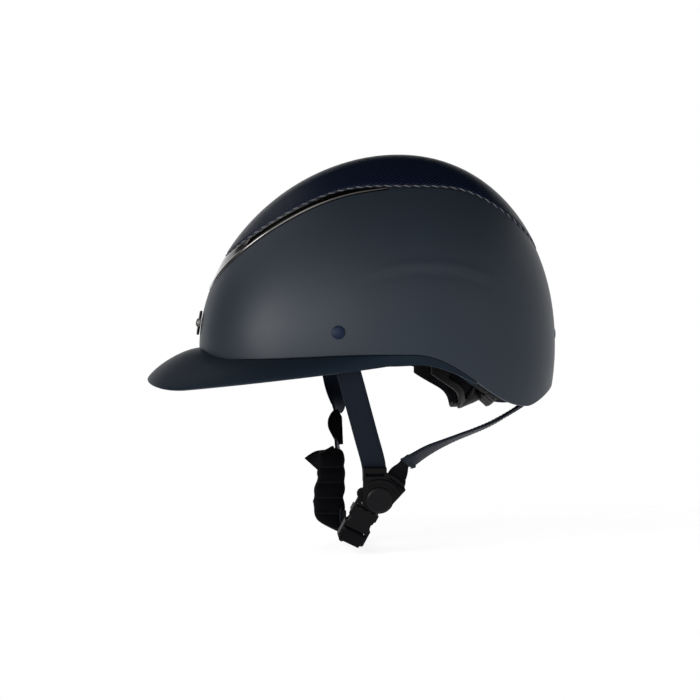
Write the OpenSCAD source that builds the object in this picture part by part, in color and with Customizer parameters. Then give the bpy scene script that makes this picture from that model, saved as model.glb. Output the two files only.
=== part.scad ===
// Riding helmet with a moulded peak, an inlaid top panel, a vented front crescent,
// a dial-fitted cradle and a four-point harness. Millimetres.
// The wearer looks along -Y, +X is the wearer's left and +Z is up.
// The origin is the centre of the head opening, level with the front of the rim.

/* [Shell] */
// Length of the shell from its crown to its front
front_len = 152.5; // [150:0.5:156]
// Length of the shell from its crown to its back
rear_len = 122; // [119:0.5:126]
// Half of the shell's width
half_w = 106; // [104:0.5:109]
// Height of the dome over its widest level
dome_h = 146.5; // [143:0.5:150]
// Thickness of the shell
shell_wall = 3; // [2.6:0.1:3.4]
// Depth of the seat that the top panel lies in
seat_depth = 1.3; // [1.2:0.1:1.5]

/* [Rim] */
// Level of the rim beside the ears
rim_z = 2.5; // [0:0.5:5]
// Depth of the dip behind the ears
dip = 38.5; // [30:0.5:42]
// Rise of the rim at the nape over the dip
nape_rise = 16; // [10:1:20]

/* [Top panel] */
// How far under the crown the panel's edge lies over the ears
panel_depth = 26.1; // [23.5:0.2:29.5]
// Fall of the panel's edge towards the front
panel_front_drop = 50.4; // [46:0.2:54]
// Fall of the panel's edge towards the back
panel_rear_drop = 45.4; // [42:0.2:49]
// Thickness of the panel
panel_wall = 1.8; // [1.5:0.1:2.2]
// Diameter of the cord along the panel's edge
piping_d = 1.8; // [1.4:0.1:2]

/* [Front vent] */
// Height of the crescent away from its middle
vent_h = 13; // [10:0.5:15]
// Extra height of the crescent's point in the middle
vent_point = 12; // [8:0.5:14]
// Thickness of the crescent's frame
frame_wall = 2.6; // [2.2:0.1:2.8]
// Thickness of the mesh
mesh_wall = 0.8; // [0.6:0.1:1]

/* [Peak] */
// Reach of the peak in front of the shell
peak_reach = 40; // [30:1:48]
// Thickness of the peak and its side band
peak_wall = 2.8; // [2.4:0.1:3.4]
// Height of the side band under the shell
band_h = 8.5; // [6:0.5:10]
// Height of the flange that goes up inside the shell
flange_h = 11; // [8:0.5:12]
// Thickness of that flange
flange_wall = 1.5; // [1.2:0.1:1.8]

/* [Liner and pads] */
// Thickness of the foam liner
foam_wall = 16.5; // [15:0.5:18]
// Room between shell and liner at the rim, for flange and straps
skirt_gap = 5.9; // [5.6:0.1:6.4]
// Thickness of the comfort pads at their middle
pad_wall = 5.5; // [4:0.5:6]

/* [Rivets and badge] */
// Diameter of a rivet's head
rivet_d = 10; // [8:0.5:12]
// Height of a rivet's head
rivet_h = 1.8; // [1.4:0.1:2.4]
// Diameter of a rivet's shank
shank_d = 4; // [3.5:0.1:4.5]
// Level of the rivets
rivet_z = 19; // [18:0.5:22]
// Diameter of the front badge
badge_d = 19; // [14:0.5:22]
// Thickness of the front badge
badge_wall = 2.2; // [1.6:0.1:3]

/* [Harness] */
// Width of the straps
strap_w = 18; // [15:0.5:20]
// Thickness of the straps
strap_wall = 1.8; // [1.4:0.1:2]
// Thickness of the divider plates
divider_wall = 4; // [3.4:0.1:4.6]
// Diameter of the divider's round cap
cap_d = 19.6; // [17:0.1:21]
// Width of the buckle
buckle_w = 21; // [20:0.5:23]
// Length of the buckle's socket half
socket_len = 27.2; // [26:0.1:29]
// Thickness of the buckle's socket half
socket_h = 8.4; // [8:0.1:9]
// Thickness of the buckle's tongue half
tongue_h = 3.2; // [2.8:0.1:3.4]
// Width of the chin pad
chin_pad_w = 26; // [22:1:30]
// Thickness of the chin pad
chin_pad_h = 18.5; // [14:0.5:20]

/* [Fit dial] */
// Diameter of the dial
dial_d = 27; // [24:0.5:28]
// Height of the dial
dial_h = 8.7; // [7:0.1:10]
// Slope of the dial's axis under the horizontal
dial_slope = 42; // [38:1:46]
// Tooth size of the pinion and the racks
tooth_module = 1; // [0.9:0.05:1.1]
// Wall of the cradle plate
cradle_wall = 2.4; // [2:0.1:3]
// Height of the racks and the arms
arm_h = 9; // [8:0.5:10]

/* [Hidden] */

// clearance between pieces that only lie against each other
gap = 0.3;
// how far behind the origin the crown lies
crown_y = 16;
// level at which the shell is widest
girth_z = 10;
// roundness of the plan and of the two ends of the profile
plan_curve = 2.2;
front_curve = 1.89;
rear_curve = 2.12;
// how much the shell draws in under its widest level
tuck = 0.45;
// where the rim's dip starts, is deepest, and ends at the nape
dip_start = 20;
dip_y = 114;
brow_len = 110;
brow_drop = 3.5;
// columns round the shell, and the one that ends the vent
columns = 60;
vent_end = 84;
// half-angles between which the frame is open
vent_open = [24, 54];

navy = [0.16, 0.19, 0.24];
deep_navy = [0.07, 0.1, 0.18];
black = [0.08, 0.08, 0.09];
foam = [0.16, 0.16, 0.17];
chrome = [0.4, 0.4, 0.42];

function raise(v, p) = sign(v) * pow(abs(v), p);
function ease(t) = (1 - cos(180 * min(1, max(0, t)))) / 2;
function unit(v) = v / norm(v);
function spread(a, b, n) = [for (i = [0:n]) a + (b - a) * i / n];
function blend(a, b, t) = a + (b - a) * t;

// The helmet's outer form: a point at a heading (0 front, 90 left, 180 back), a level and an outward offset
function side_curve(phi) = blend(front_curve, rear_curve, (1 - cos(phi)) / 2);
function waist(phi, z) = let (m = side_curve(phi), h = (z - girth_z) / dome_h)
    h > 0 ? pow(max(0, 1 - pow(min(1, h), m)), 1 / m) : 1 - tuck * h * h;
function form(phi, z, off = 0) = let (w = waist(phi, z), len = cos(phi) > 0 ? front_len : rear_len)
    [(half_w + off) * w * raise(sin(phi), 2 / plan_curve),
     crown_y - (len + off) * w * raise(cos(phi), 2 / plan_curve),
     z > girth_z ? girth_z + (z - girth_z) * (1 + off / dome_h) : z];
// Levels from z towards the crown, evenly spaced along the dome
function to_crown(phi, z, n) = let (m = side_curve(phi), e = asin(pow((z - girth_z) / dome_h, m / 2)))
    [for (i = [1:n]) girth_z + dome_h * pow(sin(e + (90 - e) * i / (n + 0.6)), 2 / m)];

// The rim's level by how far back it lies
function rim_at(y) = y < dip_start
    ? rim_z - brow_drop * ease(-y / brow_len) + 6 * pow(max(0, (-y - brow_len - 8) / 20), 2)
    : y < dip_y ? rim_z - dip * ease((y - dip_start) / (dip_y - dip_start))
    : rim_z - dip + nape_rise * pow((y - dip_y) / (crown_y + rear_len - dip_y), 1.5);
function rim(phi) = rim_at(form(phi, girth_z)[1]);
function panel_edge(phi) = cos(phi) > 0
    ? girth_z + dome_h - panel_depth - panel_front_drop * pow(cos(phi), 3.8)
    : girth_z + dome_h - panel_depth - panel_rear_drop * pow(-cos(phi), 5.2);
function vent_gap(phi) = cos(phi) > 0 ? vent_h * pow(cos(phi), 0.9) + vent_point * pow(cos(phi), 40) : 0;
// the seat's edge lies a piping's room under the panel's edge, and the vent lies under that
piping_room = piping_d + gap;
function seat_edge(phi) = panel_edge(phi) - piping_room;
function vent_low(phi) = seat_edge(phi) - 1.3 - vent_gap(phi);

function headings() = [for (c = [0:columns - 1]) 360 * c / columns];
function in_vent(phi, half) = min(phi, 360 - phi) < half;

function two_faces(a, b, c, d) = [[a, b, c], [a, c, d]];

// A closed wall between two matching grids of points, with holes where keep says no
module wall_grid(outer, inner, keep, round = true, tops = []) {
    rows = len(outer);
    cols = len(outer[0]);
    n = rows * cols;
    last = round ? cols : cols - 1;
    function id(r, c, s) = s * n + r * cols + (c % cols);
    function has(r, c) = r >= 0 && r < rows - 1 && (round || (c >= 0 && c < last)) && keep[r][(c + cols) % cols];
    cells = [for (r = [0:rows - 2]) for (c = [0:last - 1]) if (has(r, c)) each concat(
        two_faces(id(r, c, 0), id(r + 1, c, 0), id(r + 1, c + 1, 0), id(r, c + 1, 0)),
        two_faces(id(r, c, 1), id(r, c + 1, 1), id(r + 1, c + 1, 1), id(r + 1, c, 1)),
        has(r - 1, c) ? [] : two_faces(id(r, c, 0), id(r, c + 1, 0), id(r, c + 1, 1), id(r, c, 1)),
        has(r + 1, c) || (r == rows - 2 && len(tops) > 0) ? []
            : two_faces(id(r + 1, c + 1, 0), id(r + 1, c, 0), id(r + 1, c, 1), id(r + 1, c + 1, 1)),
        has(r, c - 1) ? [] : two_faces(id(r + 1, c, 0), id(r, c, 0), id(r, c, 1), id(r + 1, c, 1)),
        has(r, c + 1) ? [] : two_faces(id(r, c + 1, 0), id(r + 1, c + 1, 0), id(r + 1, c + 1, 1), id(r, c + 1, 1)))];
    crown = len(tops) == 0 ? [] : [for (c = [0:cols - 1]) each [
        [id(rows - 1, c, 0), 2 * n, id(rows - 1, c + 1, 0)],
        [id(rows - 1, c, 1), id(rows - 1, c + 1, 1), 2 * n + 1]]];
    polyhedron(concat([for (row = outer) each row], [for (row = inner) each row], tops), concat(cells, crown));
}

// A closed tube through matching rings of points. Each ring runs anticlockwise seen against the way of travel.
module tube(rings, round = false) {
    k = len(rings[0]);
    m = len(rings);
    last = round ? m : m - 1;
    function id(i, j) = (i % m) * k + (j % k);
    sides = [for (i = [0:last - 1]) for (j = [0:k - 1])
        each two_faces(id(i, j), id(i, j + 1), id(i + 1, j + 1), id(i + 1, j))];
    ends = round ? [] : concat([for (j = [1:k - 2]) [0, j + 1, j]],
        [for (j = [1:k - 2]) [(m - 1) * k, (m - 1) * k + j, (m - 1) * k + j + 1]]);
    polyhedron([for (ring = rings) each ring], concat(sides, ends));
}

// A flat strap along points, with the direction of its width at each point
function travel(p, i) = unit(p[min(len(p) - 1, i + 1)] - p[max(0, i - 1)]);
function strap_ring(at, along, wide, w, h) = let (n = unit(cross(along, wide)), s = cross(n, along))
    [at - s * w / 2 - n * h / 2, at + s * w / 2 - n * h / 2, at + s * w / 2 + n * h / 2, at - s * w / 2 + n * h / 2];
module strap(points, wides, w = strap_w, h = strap_wall) {
    tube([for (i = [0:len(points) - 1]) let (r = strap_ring(points[i], travel(points, i), wides[i], w, h))
        [r[0], r[3], r[2], r[1]]]);
}

// A smooth path through a few points, or through the widths that go with them
function curve(p, n) = concat([for (i = [0:len(p) - 2]) let (a = p[max(0, i - 1)], b = p[i], c = p[i + 1],
    d = p[min(len(p) - 1, i + 2)]) for (j = [0:n - 1]) let (t = j / n)
    (2 * b + (c - a) * t + (2 * a - 5 * b + 4 * c - d) * t * t + (3 * b - a - 3 * c + d) * t * t * t) / 2],
    [p[len(p) - 1]]);
// A strap through stations, each a point and the direction of the width there
module strap_along(stations, n, w = strap_w, h = strap_wall) {
    strap(curve([for (k = stations) k[0]], n), curve([for (k = stations) k[1]], n), w, h);
}

// Places children on the form: x runs round it, y up it and z out of it
function outward(phi, z) = unit(cross(form(phi + 1, z) - form(phi - 1, z), form(phi, z + 1) - form(phi, z - 1)));
module on_form(phi, z, off = 0) {
    n = outward(phi, z);
    side = unit(cross([0, 0, 1], n));
    up = cross(n, side);
    p = form(phi, z) + n * off;
    multmatrix([[side[0], up[0], n[0], p[0]], [side[1], up[1], n[1], p[1]], [side[2], up[2], n[2], p[2]]])
        children();
}

// Shell

rivet_phi = [72.2, 180, 287.8];
shell_low = 7;
shell_high = 4;

function shell_levels(phi) = concat(spread(rim(phi), vent_low(phi), shell_low), [seat_edge(phi)],
    to_crown(phi, panel_edge(phi), shell_high));
function by_row(table) = [for (r = [0:len(table[0]) - 1]) [for (c = [0:len(table) - 1]) table[c][r]]];
function crown_point(off) = form(90, girth_z + dome_h, off);

module outer_shell() {
    outer = by_row([for (phi = headings()) let (z = shell_levels(phi))
        [for (r = [0:len(z) - 1]) form(phi, z[r], r > shell_low ? -seat_depth : 0)]]);
    inner = by_row([for (phi = headings()) [for (z = shell_levels(phi)) form(phi, z, -shell_wall)]]);
    keep = [for (r = [0:len(outer) - 2]) [for (phi = headings())
        r != shell_low || !(in_vent(phi, vent_end) || phi == 360 - vent_end)]];
    color(navy) difference() {
        wall_grid(outer, inner, keep, tops = [crown_point(-seat_depth), crown_point(-shell_wall)]);
        for (phi = rivet_phi) on_form(phi, rivet_z, -2 * shell_wall)
            cylinder(d = shank_d + 2 * gap, h = 4 * shell_wall, $fn = 24);
    }
}

// the panel stands a little proud of the shell
panel_proud = panel_wall - seat_depth + gap;
function panel_levels(phi) = let (e = panel_edge(phi)) concat([e, e + 1.5], to_crown(phi, e + 1.5, shell_high));

module top_panel() {
    outer = by_row([for (phi = headings()) let (z = panel_levels(phi))
        [for (r = [0:len(z) - 1]) form(phi, z[r], r == 0 ? panel_proud - 0.7 : panel_proud)]]);
    inner = by_row([for (phi = headings()) [for (z = panel_levels(phi)) form(phi, z, gap - seat_depth)]]);
    keep = [for (r = [0:len(outer) - 2]) [for (phi = headings()) true]];
    color(deep_navy)
        wall_grid(outer, inner, keep, tops = [crown_point(panel_proud), crown_point(gap - seat_depth)]);
}

module panel_piping() {
    sides = 6;
    centre = [for (phi = headings()) form(phi, panel_edge(phi) - piping_room / 2, gap - seat_depth + piping_d / 2)];
    rings = [for (c = [0:columns - 1]) let (phi = 360 * c / columns,
        along = unit(centre[(c + 1) % columns] - centre[(c + columns - 1) % columns]),
        n = outward(phi, panel_edge(phi)), side = unit(cross(along, n)))
        [for (j = [0:sides - 1]) centre[c] + (n * cos(360 * j / sides) + side * sin(360 * j / sides))
            * (piping_d / 2 - 0.05)]];
    color([0.45, 0.46, 0.5]) tube([for (i = [len(rings) - 1:-1:0]) rings[i]], round = true);
}

// Front vent

frame_seat = shell_wall - mesh_wall - gap;
// the same headings as the shell's columns, with the ends drawn in
frame_phi = [for (a = [-vent_end:360 / columns:vent_end]) abs(a) == vent_end ? a - sign(a) * 0.4 : a];
// shares of the crescent's height: two rims round an opening, and how proud each stands
frame_rows = [0, 0.12, 0.28, 0.84, 1];
frame_out = [0.2, 1.1, 0.4, 0.3, 0.1];
function vent_level(phi, share) = blend(vent_low(phi) + gap, seat_edge(phi) - gap, share);

module vent_frame() {
    outer = [for (r = [0:len(frame_rows) - 1]) [for (phi = frame_phi)
        form(phi, vent_level(phi, frame_rows[r]), frame_out[r])]];
    inner = [for (r = [0:len(frame_rows) - 1]) [for (phi = frame_phi)
        form(phi, vent_level(phi, frame_rows[r]), frame_out[r] * 0.2 - min(frame_seat, frame_wall - 0.9))]];
    keep = [for (r = [0:len(frame_rows) - 2]) [for (c = [0:len(frame_phi) - 1])
        let (a = abs(frame_phi[c] + 3)) r != 2 || a < vent_open[0] || a > vent_open[1]]];
    color(chrome) wall_grid(outer, inner, keep, round = false);
}

// bars of the mesh across and along the vent
mesh_bars = 9;
module vent_mesh() {
    pitch = (vent_open[1] - vent_open[0] - 1) / (mesh_bars - 1);
    phis = [for (k = [0:mesh_bars - 1]) each [vent_open[0] + k * pitch, vent_open[0] + k * pitch + 0.8]];
    rows = [0.2, 0.27, 0.39, 0.46, 0.58, 0.65, 0.77, 0.9];
    keep = [for (r = [0:len(rows) - 2]) [for (c = [0:len(phis) - 2]) r % 2 == 0 || c % 2 == 0]];
    color(black) for (side = [0, 1]) mirror([side, 0, 0]) wall_grid(
        [for (f = rows) [for (phi = phis) form(phi, vent_level(phi, f), mesh_wall - shell_wall)]],
        [for (f = rows) [for (phi = phis) form(phi, vent_level(phi, f), -shell_wall)]],
        keep, round = false);
}

// Peak and side band

band_end = 113;
peak_low = -6;
function reach(phi) = peak_reach * pow(max(0, cos(phi)), 1.3);
function plan_out(phi) = let (d = form(phi + 1, girth_z) - form(phi - 1, girth_z)) unit([d[1], -d[0], 0]);
function peak_root(phi) = form(phi, rim(phi) - gap - 0.1);
// the edge droops towards the side and rises again under the rim
function edge_level(y) = y < 0
    ? rim_z - band_h - 18 * pow(-y / 155, 0.9) + 10.5 * pow(max(0, (-y - 148) / 28), 1.4)
    : rim_at(y) - band_h + (band_h - 1.6) * pow(max(0, (y - 5) / 66), 1.6);
function peak_edge(phi) = let (p = peak_root(phi) + plan_out(phi) * reach(phi)) [p[0], p[1], edge_level(p[1])];
// a point on the peak's top, from its root to its edge
function peak_top(phi, t) = let (a = peak_root(phi), b = peak_edge(phi))
    [blend(a[0], b[0], t), blend(a[1], b[1], t), blend(a[2], b[2], pow(t, 1.57))];
function peak_under(phi, t) = let (d = peak_top(phi, min(1, t + 0.02)) - peak_top(phi, max(0, t - 0.02)),
    flat = d * plan_out(phi), n = unit(plan_out(phi) * -d[2] + [0, 0, flat]))
    peak_top(phi, t) - n * peak_wall * (t > 0.9 ? 0.7 : 1);

module peak() {
    phis = concat([-band_end], spread(-108, 108, 36), [band_end]);
    shares = [1, 0.93, 0.78, 0.55, 0.28, 0];
    root = shell_wall + 2 * gap;
    outer = concat([for (t = shares) [for (phi = phis) peak_top(phi, t)]],
        [[for (phi = phis) form(phi, rim(phi) - gap - 0.1, -root)],
         [for (phi = phis) form(phi, rim(phi) + flange_h, -root)]]);
    inner = concat([for (t = shares) [for (phi = phis) t < 0.3
            ? form(phi, rim(phi) - gap - (t == 0 ? peak_wall : peak_wall + 0.5), -root - flange_wall)
            : peak_under(phi, t)]],
        [[for (phi = phis) form(phi, rim(phi), -root - flange_wall)],
         [for (phi = phis) form(phi, rim(phi) + flange_h, -root - flange_wall)]]);
    keep = [for (r = [0:len(outer) - 2]) [for (phi = phis) true]];
    color(deep_navy) wall_grid(outer, inner, keep, round = false);
}

// Badge and rivets

module front_badge() {
    color(chrome) on_form(0, 27, gap) {
        cylinder(d = badge_d, h = badge_wall - 0.7, $fn = 64);
        translate([0, 0, badge_wall - 0.7]) cylinder(d1 = badge_d, d2 = badge_d - 2, h = 0.7, $fn = 64);
        translate([0, 0, badge_wall]) cylinder(d = badge_d / 3, h = 0.5, $fn = 48);
        translate([0, 0, badge_wall + 0.5]) cylinder(d1 = badge_d / 3, d2 = badge_d / 6, h = 1, $fn = 48);
    }
}

// the anchor plates lie inside the shell, clear of its curve
anchor_wall = 1.4;
anchor_off = shell_wall + gap + 0.4;
module shell_rivets() {
    reach_in = anchor_off + anchor_wall;
    color([0.12, 0.2, 0.32]) for (phi = rivet_phi) on_form(phi, rivet_z) {
        translate([0, 0, gap]) rotate_extrude($fn = 48) polygon([[0, 0], [rivet_d / 2, 0], [rivet_d / 2, 0.5],
            [rivet_d * 0.42, rivet_h * 0.75], [rivet_d * 0.25, rivet_h], [0, rivet_h]]);
        translate([0, 0, -reach_in]) cylinder(d = shank_d, h = reach_in + gap, $fn = 32);
    }
}

module strap_anchors() {
    color([0.5, 0.5, 0.52]) for (phi = rivet_phi) on_form(phi, rivet_z, -anchor_off - anchor_wall)
        linear_extrude(anchor_wall) difference() {
            width = phi == 180 ? 1.25 * strap_w : 0.9 * strap_w;
            translate([-width / 2, -4]) square([width, 9]);
            circle(d = shank_d + 0.2, $fn = 32);
        }
}

// Liner and pads

foam_in = shell_wall + gap + skirt_gap + foam_wall;
// the liner lies a tape's thickness inside the shell
tape = 0.8;
// the liner steps out to the shell over the skirt's room for flange and straps
skirt_top = 0.26 * dome_h;
function foam_levels(phi) = let (low = rim(phi) + 1.6) concat(spread(low, skirt_top, 3),
    spread(skirt_top + 10, vent_low(phi), 4),
    [seat_edge(phi) - gap], to_crown(phi, panel_edge(phi), 4));

module eps_liner() {
    skirt = shell_wall + gap + skirt_gap;
    phis = [for (c = [0:39]) 9 * c];
    outer = by_row([for (phi = phis) let (z = foam_levels(phi))
        [for (r = [0:len(z) - 1]) form(phi, z[r], r < 4 ? -skirt : -shell_wall - tape)]]);
    inner = by_row([for (phi = phis) let (z = foam_levels(phi))
        [for (r = [0:len(z) - 1]) form(phi, z[r] + (r == 0 ? 4 : 0), -foam_in)]]);
    // air ports behind the two open parts of the vent
    keep = [for (r = [0:len(outer) - 2]) [for (phi = phis)
        !(r == 8 && (phi == 27 || phi == 36 || phi == 315 || phi == 324))]];
    color(foam) wall_grid(outer, inner, keep,
        tops = [crown_point(-shell_wall - tape), crown_point(-foam_in)]);
}

// hook tape keeps the pads a little off the liner
pad_seat = 1;
// A crowned pad on the inside of the liner between two headings and two levels, sewn into channels
module pad(from, to, low, high, channels, across = 4) {
    cols = channels * 4;
    function swell(u, v) = 1.2 + (pad_wall - 1.2) * pow(max(0, 1 - pow(abs(2 * v - 1), 2.5)), 0.5)
        * pow(max(0, 1 - pow(abs(2 * u - 1), 8)), 0.5) * (0.72 + 0.28 * abs(sin(180 * channels * u)));
    function level(phi, v) = blend(rim(phi) + low, rim(phi) + high, v);
    outer = [for (j = [0:across]) [for (i = [0:cols]) let (phi = blend(from, to, i / cols))
        form(phi, level(phi, j / across), -foam_in - pad_seat)]];
    inner = [for (j = [0:across]) [for (i = [0:cols]) let (phi = blend(from, to, i / cols))
        form(phi, level(phi, j / across), -foam_in - pad_seat - swell(i / cols, j / across))]];
    keep = [for (j = [0:across - 1]) [for (i = [0:cols]) true]];
    wall_grid(outer, inner, keep, round = false);
}

brow_pad_h = 36;
side_pad_h = 42;
module brow_pad() { color(black) pad(-56, 56, 8, 8 + brow_pad_h, 8); }

module side_pads() {
    color(black) {
        pad(66, 112, 24, 24 + side_pad_h, 3);
        pad(-112, -66, 24, 24 + side_pad_h, 3);
    }
}

// level of the crown pad's edge
crown_pad_low = girth_z + dome_h - 38.5;
module crown_pad() {
    phis = [for (c = [0:23]) 15 * c];
    function levels(phi) = to_crown(phi, crown_pad_low, 4);
    function plump(r) = [0.8, 1, 0.9, 0.8][r];
    outer = by_row([for (phi = phis) let (z = levels(phi)) [for (r = [0:3]) form(phi, z[r], -foam_in - pad_seat)]]);
    inner = by_row([for (c = [0:23]) let (phi = phis[c], z = levels(phi))
        [for (r = [0:3]) form(phi, z[r], -foam_in - pad_seat
            - (r == 0 ? 1.2 : pad_wall * plump(r) * (c % 4 == 0 ? 0.7 : 1)))]]);
    keep = [for (r = [0:2]) [for (phi = phis) true]];
    color(black) wall_grid(outer, inner, keep,
        tops = [crown_point(-foam_in - pad_seat), crown_point(-foam_in - pad_seat - pad_wall * 0.8)]);
}

// Fit system. The dial's own frame has z out along its axis, x to the left and y down.

nape_y = crown_y + 4;
nape_x_half = half_w - foam_in - 6.3;
nape_y_half = rear_len - foam_in - 33.7;
nape_end = 75;
dial_at = [0, nape_y + nape_y_half + 3.7, -20.2];
module dial_frame() { translate(dial_at) rotate([-90 - dial_slope, 0, 0]) children(); }

teeth = 10;
pitch_r = tooth_module * teeth / 2;
tooth_pitch = PI * tooth_module;
rack_wall = 3;
rack_travel = pitch_r * PI;
// the rack's back edge and the channel it runs in
rack_back = pitch_r + 1.4 * tooth_module + 2.6;
channel = rack_back + 0.4;
housing_half = 24;
housing_wall = 1.6;
floor_z = -rack_wall / 2 - gap - housing_wall;
cover_z = rack_wall / 2 + gap;
rack_out = housing_half + 6;
foot_h = 1.4;

module housing_outline(grow = 0) {
    for (side = [-1, 1]) translate([side * (housing_half - 11), 0]) circle(r = 11 + grow, $fn = 64);
    translate([-housing_half + 11, -11 - grow]) square([2 * housing_half - 22, 22 + 2 * grow]);
}

module dial_housing() {
    color(black) dial_frame() {
        difference() {
            translate([0, 0, floor_z]) linear_extrude(cover_z - floor_z) housing_outline();
            translate([-housing_half - 1, -channel, -rack_wall / 2 - gap])
                cube([2 * housing_half + 2, 2 * channel, rack_wall + 4 * gap]);
        }
        translate([0, 0, floor_z]) cylinder(d = 3, h = cover_z - floor_z - gap, $fn = 32);
        // the foot that seats on the cradle
        translate([-7, -6, floor_z - foot_h]) cube([14, 12, foot_h + 0.2]);
    }
}

hub_d = 8;
module housing_cover() {
    color(black) dial_frame() translate([0, 0, cover_z]) linear_extrude(housing_wall) difference() {
        housing_outline();
        circle(d = hub_d + 0.2, $fn = 48);
    }
}

// a straight-sided tooth, base on the x axis and pointing along y
module tooth(half_low, half_pitch, half_tip) {
    polygon([[half_low, -0.5], [half_low, 0], [half_pitch, 1.1 * tooth_module], [half_tip, 2 * tooth_module],
        [-half_tip, 2 * tooth_module], [-half_pitch, 1.1 * tooth_module], [-half_low, 0], [-half_low, -0.5]]);
}

module dial_pinion() {
    root_r = pitch_r - 1.1 * tooth_module;
    color([0.7, 0.7, 0.68]) dial_frame() difference() {
        union() {
            translate([0, 0, -rack_wall / 2]) linear_extrude(rack_wall) {
                circle(r = root_r, $fn = 48);
                for (k = [0:teeth - 1]) rotate(360 * (k + 0.5) / teeth) translate([0, root_r])
                    tooth(1.0 * tooth_module, 0.6 * tooth_module, 0.25 * tooth_module);
            }
            translate([0, 0, -rack_wall / 2]) cylinder(d = hub_d, h = rack_wall + gap + housing_wall + 3, $fn = 48);
        }
        translate([0, 0, -rack_wall]) cylinder(d = 3.1, h = rack_wall + 2 * gap + rack_wall / 2, $fn = 32);
    }
}

knob_z = cover_z + housing_wall + gap;
module dial_knob() {
    color([0.3, 0.3, 0.31]) dial_frame() translate([0, 0, knob_z]) difference() {
        union() {
            linear_extrude(dial_h - 1) {
                circle(d = dial_d - 1.6, $fn = 96);
                for (k = [0:23]) rotate(15 * k) translate([dial_d / 2 - 0.9, 0]) circle(r = 0.9, $fn = 16);
            }
            translate([0, 0, dial_h - 1]) cylinder(d1 = dial_d - 1.6, d2 = dial_d - 3.6, h = 1, $fn = 96);
        }
        translate([0, 0, -1]) cylinder(d = hub_d + 0.1, h = 1 + 2.8, $fn = 48);
        translate([0, 0, dial_h - 1.5]) cylinder(d = dial_d * 0.62, h = 2, $fn = 64);
    }
}

module dial_cap() {
    color([0.12, 0.12, 0.13]) dial_frame() translate([0, 0, knob_z + dial_h - 1.5 + 0.05])
        cylinder(d = dial_d * 0.62 - 0.3, h = 1.2, $fn = 64);
}

rack_tooth = [[1, 0], [0.62, 1.1], [0.3, 2], [-0.3, 2], [-0.62, 1.1], [-1, 0]] * tooth_module;
// A rack: teeth towards the pinion on +y, body behind, reaching out to +x
module rack() {
    low = -rack_back;
    face = -pitch_r - 1.1 * tooth_module;
    count = floor((rack_out - 3) / tooth_pitch);
    color([0.62, 0.62, 0.6]) translate([0, 0, -rack_wall / 2]) linear_extrude(rack_wall)
        polygon(concat([[-2.2, face], [-2.2, low], [rack_out, low], [rack_out, face]],
            [for (k = [count:-1:0]) each [for (t = rack_tooth) [k * tooth_pitch + t[0], face + t[1]]]]));
}
module rack_left() { dial_frame() rack(); }
module rack_right() { dial_frame() rotate(180) rack(); }

// The cradle follows the nape: an oval in plan, leaning back in its middle
function nape_lean(s) = dial_slope * (1 - pow(abs(s), 1.5));
function nape_base(s, off) = let (a = nape_end * s)
    [(nape_x_half + off) * sin(a), nape_y + (nape_y_half + off) * cos(a), -17 + 20 * pow(abs(s), 2.5)];
function nape_out(s) = let (a = nape_end * s) unit([sin(a) / nape_x_half, cos(a) / nape_y_half, 0]);
function nape(s, t, off) = nape_base(s, off) + nape_out(s) * t * sin(nape_lean(s)) + [0, 0, t * cos(nape_lean(s))];
function lobe(s) = exp(-pow((abs(s) - 0.34) / 0.2, 2));
function nape_low(s) = -15 - 12.5 * lobe(s);
function nape_high(s) = 13 - 4 * pow(abs(s), 2);

cradle_off = -cradle_wall;
module cradle_plate() {
    cols = 24;
    shares = [0, 0.22, 0.74, 1];
    outer = [for (v = shares) [for (i = [0:cols]) let (s = 1 - 2 * i / cols)
        nape(s, blend(nape_low(s), nape_high(s), v), 0)]];
    inner = [for (v = shares) [for (i = [0:cols]) let (s = 1 - 2 * i / cols)
        nape(s, blend(nape_low(s), nape_high(s), v), cradle_off)]];
    // one long window in each wing
    keep = [for (r = [0:2]) [for (i = [0:cols]) let (s = abs(1 - 2 * (i + 0.5) / cols))
        r != 1 || s < 0.3 || s > 0.8]];
    color(black) wall_grid(outer, inner, keep, round = false);
}

nape_pad_wall = 4;
module nape_pad() {
    cols = 20;
    rows = 4;
    half = 0.86;
    function swell(u, v) = 0.9 + (nape_pad_wall - 0.9) * pow(max(0, 1 - pow(abs(2 * v - 1), 2.5)), 0.5)
        * pow(max(0, 1 - pow(abs(2 * u - 1), 6)), 0.5) * (0.75 + 0.25 * abs(sin(180 * 4 * u)));
    function place(u, v, off) = let (s = half * (1 - 2 * u))
        nape(s, blend(nape_low(s) + 1, nape_high(s) - 1, v), off);
    outer = [for (j = [0:rows]) [for (i = [0:cols]) place(i / cols, j / rows, cradle_off - 0.7)]];
    inner = [for (j = [0:rows]) [for (i = [0:cols])
        place(i / cols, j / rows, cradle_off - 0.7 - swell(i / cols, j / rows))]];
    keep = [for (j = [0:rows - 1]) [for (i = [0:cols]) true]];
    color(black) wall_grid(outer, inner, keep, round = false);
}

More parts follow.
